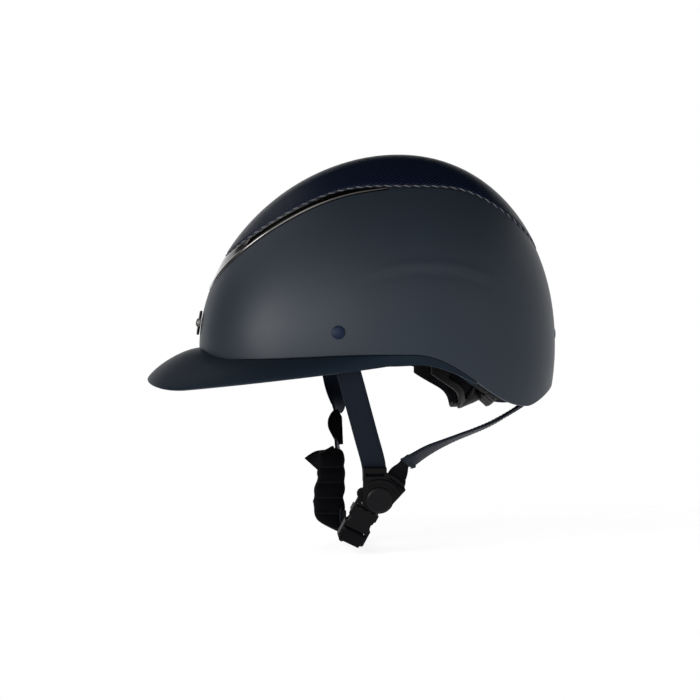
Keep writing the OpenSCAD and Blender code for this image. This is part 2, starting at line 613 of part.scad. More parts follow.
// An arm runs from the end of its rack round the outside of the cradle to the temple
arm_wall = 1.6;
arm_pivot = [half_w - foam_in - 3.1, -12, 9];
dial_up = [0, sin(dial_slope), cos(dial_slope)];
rack_off = (rack_back + pitch_r + 1.1 * tooth_module) / 2;
function nape_up(s) = nape_out(s) * sin(nape_lean(s)) + [0, 0, cos(nape_lean(s))];
module arm(side) {
    start = dial_at + [side * (rack_out + 3 * gap), 0, 0] + dial_up * rack_off * side;
    pivot = [side * arm_pivot[0], arm_pivot[1], arm_pivot[2]];
    color(black) difference() {
        strap_along([[start, dial_up], [start + [side * 4.5, -0.4, 0], dial_up],
            [nape(side * 0.57, 2 + 5 * side, 6.2), nape_up(side * 0.57)],
            [nape(side * 0.78, 3 + side, 3.4), nape_up(side * 0.78)],
            [nape(side, 3, 3.4), [0, 0, 1]],
            [pivot + [-1.5 * side, 18, -1.5], [0, 0, 1]], [pivot, [0, 0, 1]]], 3, arm_h - 2, arm_wall);
        translate(pivot + [0, 4, -0.3]) rotate([0, 90, 0]) cylinder(d = 3.6, h = 8, center = true, $fn = 24);
    }
}
module arm_left() { arm(1); }
module arm_right() { arm(-1); }

// studs that hold the arms' front ends to the liner
module arm_studs() {
    color(black) for (side = [-1, 1])
        translate([side * (arm_pivot[0] + arm_wall / 2 + 0.4), arm_pivot[1] + 4, arm_pivot[2] - 0.3])
            rotate([0, -90 * side, 0]) rotate_extrude($fn = 32) polygon([[0, 0], [1.5, 0], [1.5, arm_wall + 1.5],
                [3.5, arm_wall + 1.5], [2.8, arm_wall + 2.7], [0, arm_wall + 2.7]]);
}

// Harness

strap_off = anchor_off + anchor_wall + 3 * gap + strap_wall / 2;
// centre of the left divider's cap, the hang of the hardware and the buckle's tilt
cap_at = [70, -3.3, -105.3];
hang = 14;
buckle_tilt = 26.5;
layer = strap_wall + gap;
behind = divider_wall / 2 + gap + strap_wall / 2;

module left_frame() { translate(cap_at) rotate([0, hang, 0]) children(); }
function left_way(x, y, z) = [x * cos(hang) + z * sin(hang), y, -x * sin(hang) + z * cos(hang)];
function left_point(x, y, z) = cap_at + left_way(x, y, z);

// A strap starts under its anchor and follows the inside of the shell down past the rim
strap_levels = [26, 19, 10, 1, -7];
// how far the front straps lean back, in degrees round the shell for each millimetre down
head_run = 0.075;
function strap_head(side, phi, run) = [for (z = strap_levels) let (a = phi + (rivet_z - z) * run,
    p = form(a, z, -strap_off), w = form(a + 3, z) - form(a - 3, z)) [[side * p[0], p[1], p[2]],
    unit([side * w[0], w[1], w[2]])]];

module front_strap_left() {
    head = strap_head(1, rivet_phi[0], head_run);
    from = head[4][0];
    to = left_point(-behind, -4.6, 27);
    along = left_way(0, 1, 0.12);
    color(deep_navy) strap_along(concat(head, [[blend(from, to, 0.3) - [1.2, 0, 0], [0.1, 1, 0.24]],
        [blend(from, to, 0.7), along], [to, along], [left_point(-behind, -3.5, 13.8), along]]), 2);
}

// the right strap turns edge-on below the rim, where its webbing carries the slider and the chin pad
pad_x = -64;
pad_y = -24;
slider_from = [pad_x - 21, pad_y - 1.7, -44];
slider_to = [pad_x - 13.5, pad_y - 1.3, -67.5];
slider_wide = [-0.985, 0.17, 0];
edge_on = [-0.975, 0.22, 0];
plate_at = [pad_x + 2.5, pad_y + strap_wall / 2 + gap, -130];
module front_strap_right() {
    head = strap_head(-1, rivet_phi[0], head_run);
    color(deep_navy) strap_along(concat(head, [[slider_from + [-8.5, -1, 22], [-0.35, 0.93, 0]],
        [slider_from + [-2.6, 0.2, 8], [-0.86, 0.5, 0]], [slider_from, slider_wide], [slider_to, slider_wide],
        [[pad_x - 7.5, pad_y + 0.2, -84], edge_on], [[pad_x - 1.6, pad_y, -101], edge_on],
        [[plate_at[0], pad_y, plate_at[2] + 11.5], [-1, 0, 0]], [[plate_at[0], pad_y, plate_at[2] + 6], [-1, 0, 0]],
        [[plate_at[0], pad_y, plate_at[2] - 1.4], [-1, 0, 0]]]), 2);
}

rear_spread = 4.8;
module rear_strap_left() {
    head = strap_head(1, 180 - rear_spread, 0);
    side = 2 * layer - behind;
    color(deep_navy) strap_along(concat(head, [[[11, 128.4, -17], [-1, 0, -0.05]], [[12.5, 123, -27], [-1, 0, -0.1]],
        [[21, 109.4, -36.7], [-0.99, 0, -0.13]], [[38, 85.8, -49.5], [-0.99, 0, -0.16]],
        [[58, 55.3, -60.2], [-0.97, 0, -0.25]], [[68.5, 36.4, -67.8], [-0.9, 0, -0.43]],
        [left_point(side, 26, 31.8), tab_wide], [left_point(side, 20, 27.6), tab_wide]]), 2);
}

// the right one hangs behind the left one and ends at the lower plate
module rear_strap_right() {
    head = strap_head(-1, 180 - rear_spread, 0);
    foot = plate_at + [0, 3.2 + 2 * gap + strap_wall / 2, -1.2];
    color(deep_navy) strap_along(concat(head, [[[-11, 128.4, -17], [1, 0, -0.05]], [[-12.5, 124.5, -27], [1, 0, -0.05]],
        [[-20, 114.9, -37.6], [1, 0, 0]], [[-34, 94.6, -50.8], [1, 0, 0]],
        [[-48, 70, -62.2], [1, 0, 0]], [[-56.5, 44, -75], [1, 0, 0]],
        [[-60, 18, -96], [1, 0, 0]], [[-61.2, -1, -115.5], [1, 0, 0]],
        [foot + [0, 5.2, 7], [1, 0, 0]], [foot + [0, 0.3, 2.6], [1, 0, 0]], [foot, [1, 0, 0]]]), 2);
}

// black tab that joins the rear strap to the divider's upper right slot
tab_wide = [-0.78, 0, -0.62];
module rear_tab_left() {
    along = left_way(0, 0.78, -0.62);
    color(black) strap_along([[left_point(-behind, 11.3, 15.8), along], [left_point(-behind, 14, 19.6), left_way(-0.2, 0.74, -0.64)],
        [left_point(-behind, 18.6, 26.6), tab_wide], [left_point(-behind, 24, 30.3), tab_wide]], 2, strap_w - 5.5);
}

module divider_outline() {
    circle(d = cap_d + 2, $fn = 64);
    intersection() {
        circle(r = 21, $fn = 96);
        polygon([[-12.3, -4], [-12.3, 24], [8, 24], [21, 9], [8, -6]]);
    }
    translate([-12.3, 10]) square([17.5, 14.5]);
}

module left_divider() {
    color(black) left_frame() rotate([90, 0, 90]) {
        translate([0, 0, -divider_wall / 2]) linear_extrude(divider_wall) difference() {
            divider_outline();
            translate([-10.6, 18.2]) square([14, 2.6]);
            rotate(-38) translate([-4, 16.4]) square([13, 2.2]);
        }
        // raised ridge round the upper half of the cap
        translate([0, 0, divider_wall / 2]) rotate([0, 0, 20]) rotate_extrude(angle = 110, $fn = 96)
            polygon([[12.6, 0], [13.4, 1.3], [15.6, 1.3], [16.6, 0]]);
    }
}

module divider_cap() {
    color([0.1, 0.1, 0.11]) left_frame() translate([divider_wall / 2, 0, 0]) rotate([0, 90, 0])
        rotate_extrude($fn = 64) polygon([[0, 0], [cap_d / 2, 0], [cap_d / 2, 1.2], [cap_d / 2 - 1.4, 2.2],
            [cap_d / 2 - 3.4, 1.9], [0, 1.7]]);
}

// The buckle's own frame: x outward, y to the rear, z up against the strap's pull, centred between its halves
buckle_shift = -4.4;
socket_top = -12.3;
male_x = -divider_wall / 2 - gap - tongue_h / 2;
module buckle_frame() {
    left_frame() rotate([-buckle_tilt, 0, 0]) translate([male_x, buckle_shift, 0]) children();
}

cavity_w = buckle_w - 4.4;
cavity_h = tongue_h + 1.2;
cavity_len = 15.4;
window_low = 4.8;
window_high = 13.8;
prong_w = 2.9;
tongue_w = 3.4;

// the tongue half lies behind the divider and is riveted to it under the round cap
module buckle_male() {
    color(black) buckle_frame() rotate([0, 90, 0]) translate([0, 0, -tongue_h / 2]) linear_extrude(tongue_h) {
        // x runs down the buckle here
        difference() {
            union() {
                translate([-5, -cavity_w / 2 - 1.6]) square([16.6, cavity_w + 3.2]);
                for (side = [-1, 1]) translate([2.4, side * (cavity_w / 2 - 0.2)]) circle(r = 4.2, $fn = 48);
            }
            for (side = [-1, 1]) translate([10.2, side * (cavity_w / 2 - prong_w / 2 - 0.6)])
                circle(r = 1.9, $fn = 32);
        }
        translate([11, -tongue_w / 2]) square([-socket_top - 11 + 11.5, tongue_w]);
        translate([-socket_top + 11.5, 0]) circle(d = tongue_w, $fn = 32);
    }
}

// A prong: a round root, a springy beam and a shoulder that catches in the socket's window
module prong(side) {
    root = 10.2;
    y0 = cavity_w / 2 - prong_w / 2 - 0.6;
    catch = -socket_top + window_low + 0.4;
    tip = -socket_top + window_high;
    color(black) buckle_frame() rotate([0, 90, 0]) translate([0, 0, -tongue_h / 2]) linear_extrude(tongue_h)
        scale([1, side]) {
            translate([root, y0]) circle(r = 1.6, $fn = 32);
            polygon([[root, y0 - 1.1], [tip - 4, y0 - 1.1], [tip - 3, y0 - 2.2], [tip - 0.9, y0 - 1.2],
                [tip - 2.4, y0 + 1.3], [catch + 3, buckle_w / 2 - 0.5], [catch, buckle_w / 2 - 0.2],
                [catch, y0 + 1.1], [root, y0 + 1.1]]);
        }
}
module prong_front() { prong(-1); }
module prong_rear() { prong(1); }

strap_slot = [16.9, 2.7];
module buckle_female() {
    color(black) buckle_frame() rotate([0, 90, 0]) difference() {
        translate([0, 0, -socket_h / 2]) linear_extrude(socket_h) intersection() {
            translate([-socket_top, -buckle_w / 2]) square([socket_len, buckle_w]);
            translate([-socket_top + socket_len / 2 - 1, 0]) circle(r = socket_len * 0.64, $fn = 96);
        }
        // the socket, its two side windows and the slot for the chin strap
        translate([-socket_top - 1, -cavity_w / 2, -cavity_h / 2]) cube([cavity_len + 1, cavity_w, cavity_h]);
        translate([-socket_top + window_low, -buckle_w, -cavity_h / 2])
            cube([window_high - window_low, 2 * buckle_w, cavity_h]);
        translate([-socket_top + strap_slot[0], -strap_w / 2 - 0.4, -socket_h])
            cube([strap_slot[1], strap_w + 0.8, 2 * socket_h]);
        // the grip bevel on both faces at the strap bar
        for (side = [-1, 1]) translate([-socket_top + socket_len + 2.5, 0, side * (socket_h / 2 + 3)])
            rotate([90, 0, 0]) cylinder(r = 5.2, h = 2 * buckle_w, center = true, $fn = 64);
    }
}
function buckle_point(x, y, z) = let (c = cos(-buckle_tilt), s = sin(-buckle_tilt))
    left_point(male_x + x, (buckle_shift + y) * c - z * s, (buckle_shift + y) * s + z * c);

// the chin strap lies against the socket's back and crosses under the chin to the right side
module chin_strap() {
    x = -socket_h / 2 - 2 * gap - strap_wall / 2;
    across = buckle_point(0, 1, 0) - buckle_point(0, 0, 0);
    low = socket_top - socket_len;
    color(black) strap_along([[buckle_point(x, 0, low + 9), across], [buckle_point(x, 0, low + 4), across],
        [buckle_point(x - 3, 0.5, low + 0.6), across], [[38, -22, -137.4], [0, 1, 0.1]], [[0, -21, -137.6], [0, 1, 0]],
        [[-36, -18, -139.4], [0, 1, 0]], [plate_at + [5, 9, -11.5], [0, 1, 0]],
        [plate_at + [-7, 9, -10.8], [0, 1, 0]]], 3, strap_w - 1);
}

// The padded sleeve in front of the right strap, sewn across into channels
chin_pad_top = -76.5;
chin_pad_len = 58.5;
chin_channels = 5;
// how much steeper than level its lower end is cut
end_lean = 0.75;
module chin_pad() {
    rings = 4 * chin_channels;
    around = 16;
    back = strap_wall / 2 + strap_w / 2 * edge_on[1] + gap;
    function thick(v) = blend(0.65, 1, ease(1.6 * v)) * chin_pad_h;
    function lean(v) = end_lean * ease((v - 0.5) / 0.5);
    function centre(v) = [pad_x - 8 + 9.5 * v, pad_y - back - thick(v) / 2, chin_pad_top - chin_pad_len * v];
    function full(v) = (0.82 + 0.18 * abs(sin(180 * chin_channels * v))) * (0.9 + 0.1 * sin(180 * v));
    color(black) tube([for (k = [0:rings]) let (v = k / rings, c = centre(v), f = full(v))
        [for (j = [0:around - 1]) let (a = 360 * j / around,
            out = raise(sin(a), 0.6) * (thick(v) / 2 - 0.4) * f) c + [raise(cos(a), 0.6) * chin_pad_w / 2 * f, out, -out * lean(v)]]]);
}

// the slider is a smooth, round-backed frame that the right strap runs through
slider_len = 23;
module chin_slider() {
    down = unit(slider_to - slider_from);
    out = unit(cross(down, slider_wide));
    side = cross(out, down);
    p = blend(slider_from, slider_to, 0.5);
    color(black) multmatrix([[side[0], out[0], down[0], p[0]], [side[1], out[1], down[1], p[1]],
        [side[2], out[2], down[2], p[2]]]) difference() {
            intersection() {
                translate([-strap_w / 2 - 2.2, -6, -slider_len / 2]) cube([strap_w + 4.4, 8.6, slider_len]);
                translate([0, 9.5, 0]) rotate([0, 90, 0]) cylinder(r = 15.2, h = strap_w + 10, center = true, $fn = 96);
            }
            translate([-strap_w / 2 - 0.4, -strap_wall / 2 - 0.65, -slider_len])
                cube([strap_w + 0.8, strap_wall + 1.3, 2 * slider_len]);
        }
}

// the strap's free end comes out in front over the top of the chin pad
module strap_tail() {
    x = pad_x - 9.5;
    color(black) strap_along([[[x, pad_y - 4.4, -73.6], [1, 0, 0]], [[x, pad_y - 11.5, -73.8], [1, 0, 0]],
        [[x - 1.5, pad_y - 18.6, -77.8], [0.88, 0.2, -0.42]], [[x - 3, pad_y - 23, -85], [0.42, 0.46, -0.78]]],
        3, strap_w - 2, 2);
}

// a moulded fitting: an upright loop for the two straps and a turned loop under it for the chin strap
module right_divider() {
    plate = 3.2;
    color(black) translate(plate_at) {
        rotate([90, 0, 0]) translate([0, 0, -plate]) linear_extrude(plate) difference() {
            translate([-strap_w / 2 - 2, -4]) square([strap_w + 4, 13]);
            translate([-strap_w / 2 - 0.2, 2]) square([strap_w + 0.4, 3.4]);
        }
        rotate([90, 0, 90]) translate([0, 0, -plate / 2]) linear_extrude(plate) difference() {
            translate([-2, -15.4]) square([strap_w + 4, 13.4]);
            translate([0, -13.2]) square([strap_w, 4]);
        }
    }
}

outer_shell();
top_panel();
panel_piping();
vent_frame();
vent_mesh();
peak();
front_badge();
shell_rivets();
strap_anchors();
eps_liner();
brow_pad();
side_pads();
crown_pad();
cradle_plate();
nape_pad();
dial_housing();
housing_cover();
dial_pinion();
dial_knob();
dial_cap();
rack_left();
rack_right();
arm_left();
arm_right();
arm_studs();
front_strap_left();
front_strap_right();
rear_strap_left();
rear_strap_right();
rear_tab_left();
left_divider();
divider_cap();
buckle_male();
prong_front();
prong_rear();
buckle_female();
chin_strap();
chin_pad();
chin_slider();
strap_tail();
right_divider();
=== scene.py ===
import math

import bmesh
import bpy
from mathutils import Matrix, Vector


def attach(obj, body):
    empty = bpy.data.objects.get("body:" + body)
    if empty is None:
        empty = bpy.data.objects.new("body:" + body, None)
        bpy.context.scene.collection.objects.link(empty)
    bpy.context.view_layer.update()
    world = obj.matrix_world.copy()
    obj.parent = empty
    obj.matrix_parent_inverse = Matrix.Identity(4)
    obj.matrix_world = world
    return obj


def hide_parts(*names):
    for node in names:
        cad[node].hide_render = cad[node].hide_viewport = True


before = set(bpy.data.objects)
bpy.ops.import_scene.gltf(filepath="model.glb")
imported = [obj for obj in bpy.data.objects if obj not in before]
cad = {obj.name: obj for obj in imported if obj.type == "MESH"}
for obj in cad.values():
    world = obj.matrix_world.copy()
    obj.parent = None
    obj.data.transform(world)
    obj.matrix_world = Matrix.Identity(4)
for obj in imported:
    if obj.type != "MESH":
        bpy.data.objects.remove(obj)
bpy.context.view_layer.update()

# Camera: a long lens about two metres off, level with the rim, almost square to the wearer's left side
# and turned four degrees towards the front, so that the far straps show in front of the near ones.


def placed(name, data):
    """Puts a mesh, lens or lamp into the scene."""
    obj = bpy.data.objects.new(name, data)
    bpy.context.collection.objects.link(obj)
    return obj


target = Vector((0, -0.0202, 0.0062))
distance = 2.03
turned_by = math.radians(86)
away = Vector((math.sin(turned_by), -math.cos(turned_by), 0))
lens = bpy.data.cameras.new("camera")
lens.lens = 135
lens.sensor_width = 36
lens.clip_end = 20
camera = placed("camera", lens)
camera.location = target + distance * away
camera.rotation_euler = away.to_track_quat("Z", "Y").to_euler()
bpy.context.scene.camera = camera
bpy.context.scene.view_settings.view_transform = "Standard"

# Studio: a white sweep seen by the lens and in reflections, dimmer where it lights the object, with a large
# soft box level in front, a weaker one from behind and a small one that only shows as a sheen. Three black
# flags that the lens doesn't see keep crown and brow dark. The floor is pale card that fades into the sweep.


def put(holder, kind, inputs=(), **settings):
    """Adds a node to a tree, or to the tree that a material or world holds. inputs pairs a socket's name or
    number with a value, another node's output, or a node whose first output is meant."""
    tree = getattr(holder, "node_tree", holder)
    node = tree.nodes.new(kind)
    for key, value in settings.items():
        setattr(node, key, value)
    for key, value in inputs:
        if isinstance(value, bpy.types.Node):
            value = value.outputs[0]
        if isinstance(value, bpy.types.NodeSocket):
            tree.links.new(value, node.inputs[key])
        else:
            node.inputs[key].default_value = value
    return node


def paint(name, colour, rough, metal=0.0, shine=0.5):
    """A plain material to build on. shine is how much it mirrors head on."""
    mat = bpy.data.materials.new(name)
    mat.use_nodes = True
    skin = mat.node_tree.nodes["Principled BSDF"]
    skin.inputs["Base Color"].default_value = (*colour, 1)
    skin.inputs["Roughness"].default_value = rough
    skin.inputs["Metallic"].default_value = metal
    skin.inputs["Specular IOR Level"].default_value = shine
    return mat


def drive(mat, socket, value):
    """Lets a node's output set one property of the surface."""
    mat.node_tree.links.new(value, mat.node_tree.nodes["Principled BSDF"].inputs[socket])


def place_on(mat, kind="Object", stretch=None):
    """Where a point of the surface lies: on the piece in metres, or with UV on its lay in millimetres."""
    place = put(mat, "ShaderNodeTexCoord").outputs[kind]
    return put(mat, "ShaderNodeMapping", [(0, place), ("Scale", stretch)]).outputs[0] if stretch else place


def fading(mat, value, start, end, before=0.0, after=1.0):
    """Goes softly from one number to another while a value goes from start to end."""
    return put(mat, "ShaderNodeMapRange",
               [("Value", value), ("From Min", start), ("From Max", end), ("To Min", before),
                ("To Max", after)], interpolation_type="SMOOTHSTEP").outputs["Result"]


def meshed(name, points, edges=(), faces=()):
    """A mesh from points in metres."""
    mesh = bpy.data.meshes.new(name)
    mesh.from_pydata(points, edges, faces)
    return mesh


def board(name, corners, mat):
    """A flat piece of the studio."""
    sheet = meshed(name, corners, faces=[(0, 1, 2, 3)])
    sheet.materials.append(mat)
    obj = placed(name, sheet)
    return obj


sky = bpy.data.worlds.new("studio")
bpy.context.scene.world = sky
sky.use_nodes = True
sky.node_tree.nodes.clear()
ray = put(sky, "ShaderNodeLightPath")
shown = ray.outputs["Is Camera Ray"]
for kind in ("Is Transmission Ray", "Is Glossy Ray"):
    shown = put(sky, "ShaderNodeMath", [(0, shown), (1, ray.outputs[kind])], operation="ADD", use_clamp=True)
dim, full = [put(sky, "ShaderNodeBackground", [("Color", (1, 1, 1, 1)), ("Strength", strength)])
             for strength in (0.32, 1.0)]
sweep = put(sky, "ShaderNodeMixShader", [(0, shown), (1, dim), (2, full)])
put(sky, "ShaderNodeOutputWorld", [("Surface", sweep)])

aim = Vector((0, 0, 0.02))
for name, place, size, watts in (("key", (1.75, -0.9, 0.4), 1.1, 13), ("fill", (1.5, 1.3, 0.5), 1.2, 1),
                                 ("strip", (1.02, -1.72, 0.34), 0.8, 28)):
    lamp = bpy.data.lights.new(name, "AREA")
    lamp.shape = "DISK"
    lamp.size = size
    lamp.energy = watts
    holder = placed(name, lamp)
    holder.location = place
    holder.rotation_euler = (Vector(place) - aim).to_track_quat("Z", "Y").to_euler()
    holder.visible_diffuse = name != "strip"

black_card = paint("black_card", (0.02, 0.02, 0.02), 0.5, shine=0)
for name, corners in (
        ("flag_over", [(-1, -0.45, 0.85), (1, -0.45, 0.85), (1, 1.2, 0.85), (-1, 1.2, 0.85)]),
        ("flag_behind", [(-1.1, -1.3, 0.6), (-1.1, 1.3, 0.6), (-1.1, 1.3, 0.95), (-1.1, -1.3, 0.95)]),
        ("flag_front", [(-1.6, -1.9, -0.1), (0.5, -1.9, -0.1), (0.5, -1.9, 1), (-1.6, -1.9, 1)])):
    board(name, corners, black_card).visible_camera = False

pale = paint("pale_card", (0.9, 0.9, 0.9), 0.9, shine=0.1)
pale.node_tree.nodes["Principled BSDF"].inputs["Emission Color"].default_value = (1, 1, 1, 1)
pale.node_tree.nodes["Principled BSDF"].inputs["Emission Strength"].default_value = 0.82
far = put(pale, "ShaderNodeVectorMath", [(0, place_on(pale))], operation="LENGTH")
drive(pale, "Alpha", fading(pale, far.outputs["Value"], 0.25, 0.8, 1, 0))
ground = -0.148
board("floor", [(-3, -3, ground), (3, -3, ground), (3, 3, ground), (-3, 3, ground)], pale)

# Outer shell: an injection-moulded ABS bowl 3 mm thick, sprayed satin dark navy, with a shallow seat over the
# crown for the inlaid panel and a crescent-shaped opening above the brow. Three rivets go through it.
front_len = 152.5
rear_len = 122
half_w = 106
dome_h = 146.5
crown_y = 16
girth_z = 10
top_z = 156.5
shell_wall = 3
seat_depth = 1.3


def cosine(degrees):
    return math.cos(math.radians(degrees))


def sine(degrees):
    return math.sin(math.radians(degrees))


def power(v, p):
    """A power that keeps the sign."""
    return math.copysign(abs(v) ** p, v)


def ease(t):
    """A soft start and a soft stop from 0 to 1."""
    return (1 - math.cos(math.pi * min(1, max(0, t)))) / 2


def between(a, b, t):
    """The number or place a share of the way from one to another."""
    return a + (b - a) * t


def side_curve(phi):
    """How full the dome's upright section is, a little fuller at the rear than in front."""
    return between(1.89, 2.12, (1 - cosine(phi)) / 2)


def form(phi, z, off=0.0):
    """A point of the helmet's outer form, in millimetres, at a heading, a level and an outward offset."""
    m = side_curve(phi)
    h = (z - girth_z) / dome_h
    waist = max(0, 1 - min(1, h) ** m) ** (1 / m) if h > 0 else 1 - 0.45 * h * h
    length = front_len if cosine(phi) > 0 else rear_len
    fullness = 2 / 2.2
    return Vector(((half_w + off) * waist * power(sine(phi), fullness),
                   crown_y - (length + off) * waist * power(cosine(phi), fullness),
                   girth_z + (z - girth_z) * (1 + off / dome_h) if z > girth_z else z))


def to_crown(phi, z, count):
    """Levels from one level up to the crown, evenly spread over the surface."""
    m = side_curve(phi)
    e = math.asin(min(1, ((z - girth_z) / dome_h) ** (m / 2)))
    return [girth_z + dome_h * math.sin(e + (math.pi / 2 - e) * i / (count + 0.6)) ** (2 / m)
            for i in range(1, count + 1)]


def rim_at(y):
    """The level of the shell's rim at a place from front to rear."""
    if y < 20:
        return 2.5 - 3.5 * ease(-y / 110) + 6 * (max(0, -y - 118) / 20) ** 2
    if y < 114:
        return 2.5 - 38.5 * ease((y - 20) / 94)
    return -36 + 16 * ((y - 114) / 24) ** 1.5


def rim(phi):
    return rim_at(form(phi, girth_z).y)


def panel_edge(phi):
    """The level of the panel's edge, low over the brow and the nape."""
    c = cosine(phi)
    return 130.4 - (50.4 * c ** 3.8 if c > 0 else 45.4 * (-c) ** 5.2)


def seat_edge(phi):
    return panel_edge(phi) - 2.1


def vent_low(phi):
    """The level of the vent's lower edge."""
    c = max(0, cosine(phi))
    return seat_edge(phi) - 0.6 - 0.7 * min(1, 5 * c) - (13 * c ** 1.3 + 12 * c ** 40)


def steps(a, b, count):
    """Evenly spaced numbers from one to another."""
    return [a + (b - a) * i / count for i in range(count + 1)]


def as_rows(columns):
    return [list(row) for row in zip(*columns)]


def metres(points):
    return [tuple(0.001 * c for c in p) for p in points]


def solid(name, points, faces, lay=None):
    """A closed mesh from points in millimetres, with outward normals. lay gives each point a place on its
    material, in millimetres."""
    mesh = meshed(name, metres(points), faces=faces)
    if lay:
        layer = mesh.uv_layers.new(name="lay")
        for loop in mesh.loops:
            layer.data[loop.index].uv = lay[loop.vertex_index]
    bm = bmesh.new()
    bm.from_mesh(mesh)
    bmesh.ops.recalc_face_normals(bm, faces=bm.faces)
    for face in bm.faces:
        face.smooth = True
    bm.to_mesh(mesh)
    bm.free()
    return placed(name, mesh)


def wall(name, outer, inner, is_open=None, closed=True, tops=None, lay=None):
    """A wall between two matching grids of points, with openings where is_open(row, column) says so. A closed
    one runs all the way round, and tops close it over the crown."""
    rows = len(outer)
    cols = len(outer[0])
    last = cols if closed else cols - 1
    n = rows * cols

    def at(r, c, side):
        return side * n + r * cols + c % cols

    def filled(r, c):
        if not 0 <= r < rows - 1 or not (closed or 0 <= c < last):
            return False
        return not (is_open and is_open(r, c % cols))

    faces = []
    for r in range(rows - 1):
        for c in range(last):
            if not filled(r, c):
                continue
            a, b, d, e = (r, c), (r + 1, c), (r + 1, c + 1), (r, c + 1)
            faces.append((at(*a, 0), at(*b, 0), at(*d, 0), at(*e, 0)))
            faces.append((at(*a, 1), at(*e, 1), at(*d, 1), at(*b, 1)))
            topped = tops and r == rows - 2
            for joined, one, two in ((filled(r - 1, c), a, e), (filled(r + 1, c) or topped, d, b),
                                     (filled(r, c - 1), b, a), (filled(r, c + 1), e, d)):
                if not joined:
                    faces.append((at(*one, 0), at(*two, 0), at(*two, 1), at(*one, 1)))
    points = [p for row in outer for p in row] + [p for row in inner for p in row]
    if tops:
        points += tops
        for c in range(cols):
            faces.append((at(rows - 1, c, 0), 2 * n, at(rows - 1, c + 1, 0)))
            faces.append((at(rows - 1, c, 1), at(rows - 1, c + 1, 1), 2 * n + 1))
    if lay:
        flat = [p for row in lay for p in row]
        lay = flat + flat + ([(0, 0), (0, 0)] if tops else [])
    used = sorted({i for face in faces for i in face})
    new = {old: i for i, old in enumerate(used)}
    return solid(name, [points[i] for i in used], [tuple(new[i] for i in face) for face in faces],
                 [lay[i] for i in used] if lay else None)


def change(obj, name, kind, **settings):
    """Adds a modifier with its settings."""
    step = obj.modifiers.new(name, kind)
    for key, value in settings.items():
        setattr(step, key, value)
    return step


def rounded(obj, width, segments=2, angle=35):
    """Rounds the edges over an angle by a width in millimetres and keeps the flats flat."""
    change(obj, "rounded_edges", "BEVEL", limit_method="ANGLE", angle_limit=math.radians(angle),
           width=0.001 * width, segments=segments)
    change(obj, "flat_shading", "WEIGHTED_NORMAL", keep_sharp=True)
    return obj


def figure(holder, operation, *values):
    """A number worked out from others, each a plain number or another node's output."""
    return put(holder, "ShaderNodeMath", enumerate(values), operation=operation).outputs[0]


def spread(mat, value, low, high):
    """Turns a value from 0 to 1 into one from low to high."""
    return figure(mat, "ADD", figure(mat, "MULTIPLY", value, high - low), low)


def mottle(mat, scale, detail=2.0, stretch=(1, 1, 1)):
    """Soft unevenness from 0 to 1."""
    return put(mat, "ShaderNodeTexNoise", [("Vector", place_on(mat, "Object", stretch)), ("Scale", scale),
                                           ("Detail", detail)]).outputs["Fac"]


def relief(mat, height, depth, strength):
    """Lets a height from 0 to 1 show as relief of a depth in millimetres, on top of any that is there."""
    bump = put(mat, "ShaderNodeBump",
               [("Height", height), ("Strength", strength), ("Distance", 0.001 * depth)])
    under = mat.node_tree.nodes["Principled BSDF"].inputs["Normal"]
    if under.is_linked:
        mat.node_tree.links.new(under.links[0].from_socket, bump.inputs["Normal"])
    drive(mat, "Normal", bump.outputs[0])


def two_colours(mat, value, low, high):
    """Colours a surface from one colour to another as a value goes from 0 to 1."""
    mix = put(mat, "ShaderNodeMix", [(0, value), (6, (*low, 1)), (7, (*high, 1))], data_type="RGBA")
    drive(mat, "Base Color", mix.outputs[2])


def uneven(mat, low, high, scale, detail=2.0, stretch=(1, 1, 1)):
    """Makes a surface more and less rough in patches."""
    drive(mat, "Roughness", spread(mat, mottle(mat, scale, detail, stretch), low, high))


def clouded(mat, scale, detail, low, high):
    """Lets a colour drift between two in soft patches."""
    two_colours(mat, mottle(mat, scale, detail), low, high)


def grain(mat, scale, detail, depth, strength, stretch=(1, 1, 1)):
    """The fine relief of a moulded, sprayed or brushed surface."""
    relief(mat, mottle(mat, scale, detail, stretch), depth, strength)


def finish(obj, mat, stands_for=None, body="helmet"):
    """Gives a piece its material, hangs it on the body that carries it and hides the CAD node that it stands
    for.
    """
    obj.data.materials.clear()
    obj.data.materials.append(mat)
    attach(obj, body)
    if stands_for:
        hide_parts(stands_for)


def crease(p):
    """The faint style line pressed into each flank, how far it stands out."""
    if not -16 < p.y < 96:
        return 0
    above = p.z - 69 + 0.0042 * (p.y - 30) ** 2
    ends = math.sin(math.pi * (p.y + 16) / 112) ** 0.5
    return ends * (0.75 * math.exp(-(above / 2.6) ** 2) - 0.6 * math.exp(-((above + 5) / 2.6) ** 2))


shell_columns = 240
headings = [360 * c / shell_columns for c in range(shell_columns)]
low_rows = 34
crown_rows = 14
grid_out = []
grid_in = []
for phi in headings:
    levels = steps(rim(phi), vent_low(phi), low_rows)
    levels += [seat_edge(phi)] + to_crown(phi, panel_edge(phi), crown_rows)
    column = [form(phi, z, -seat_depth if r > low_rows else 0) for r, z in enumerate(levels)]
    grid_out.append([form(phi, z, crease(p)) if r < low_rows else p
                     for r, (z, p) in enumerate(zip(levels, column))])
    grid_in.append([form(phi, z, -shell_wall) for z in levels])
vent_end = 83.9
shell = wall("outer_shell_skin", as_rows(grid_out), as_rows(grid_in),
             is_open=lambda r, c: r == low_rows and min(headings[c], 360 - headings[c] - 1.5) < vent_end,
             tops=[form(90, top_z, -seat_depth), form(90, top_z, -shell_wall)])
rounded(shell, 0.7, 3)
lacquer = paint("satin_navy_lacquer", (0.025, 0.034, 0.047), 0.45, shine=0.2)
uneven(lacquer, 0.42, 0.5, 55, 4)
clouded(lacquer, 16, 3, (0.023, 0.0315, 0.044), (0.027, 0.037, 0.051))
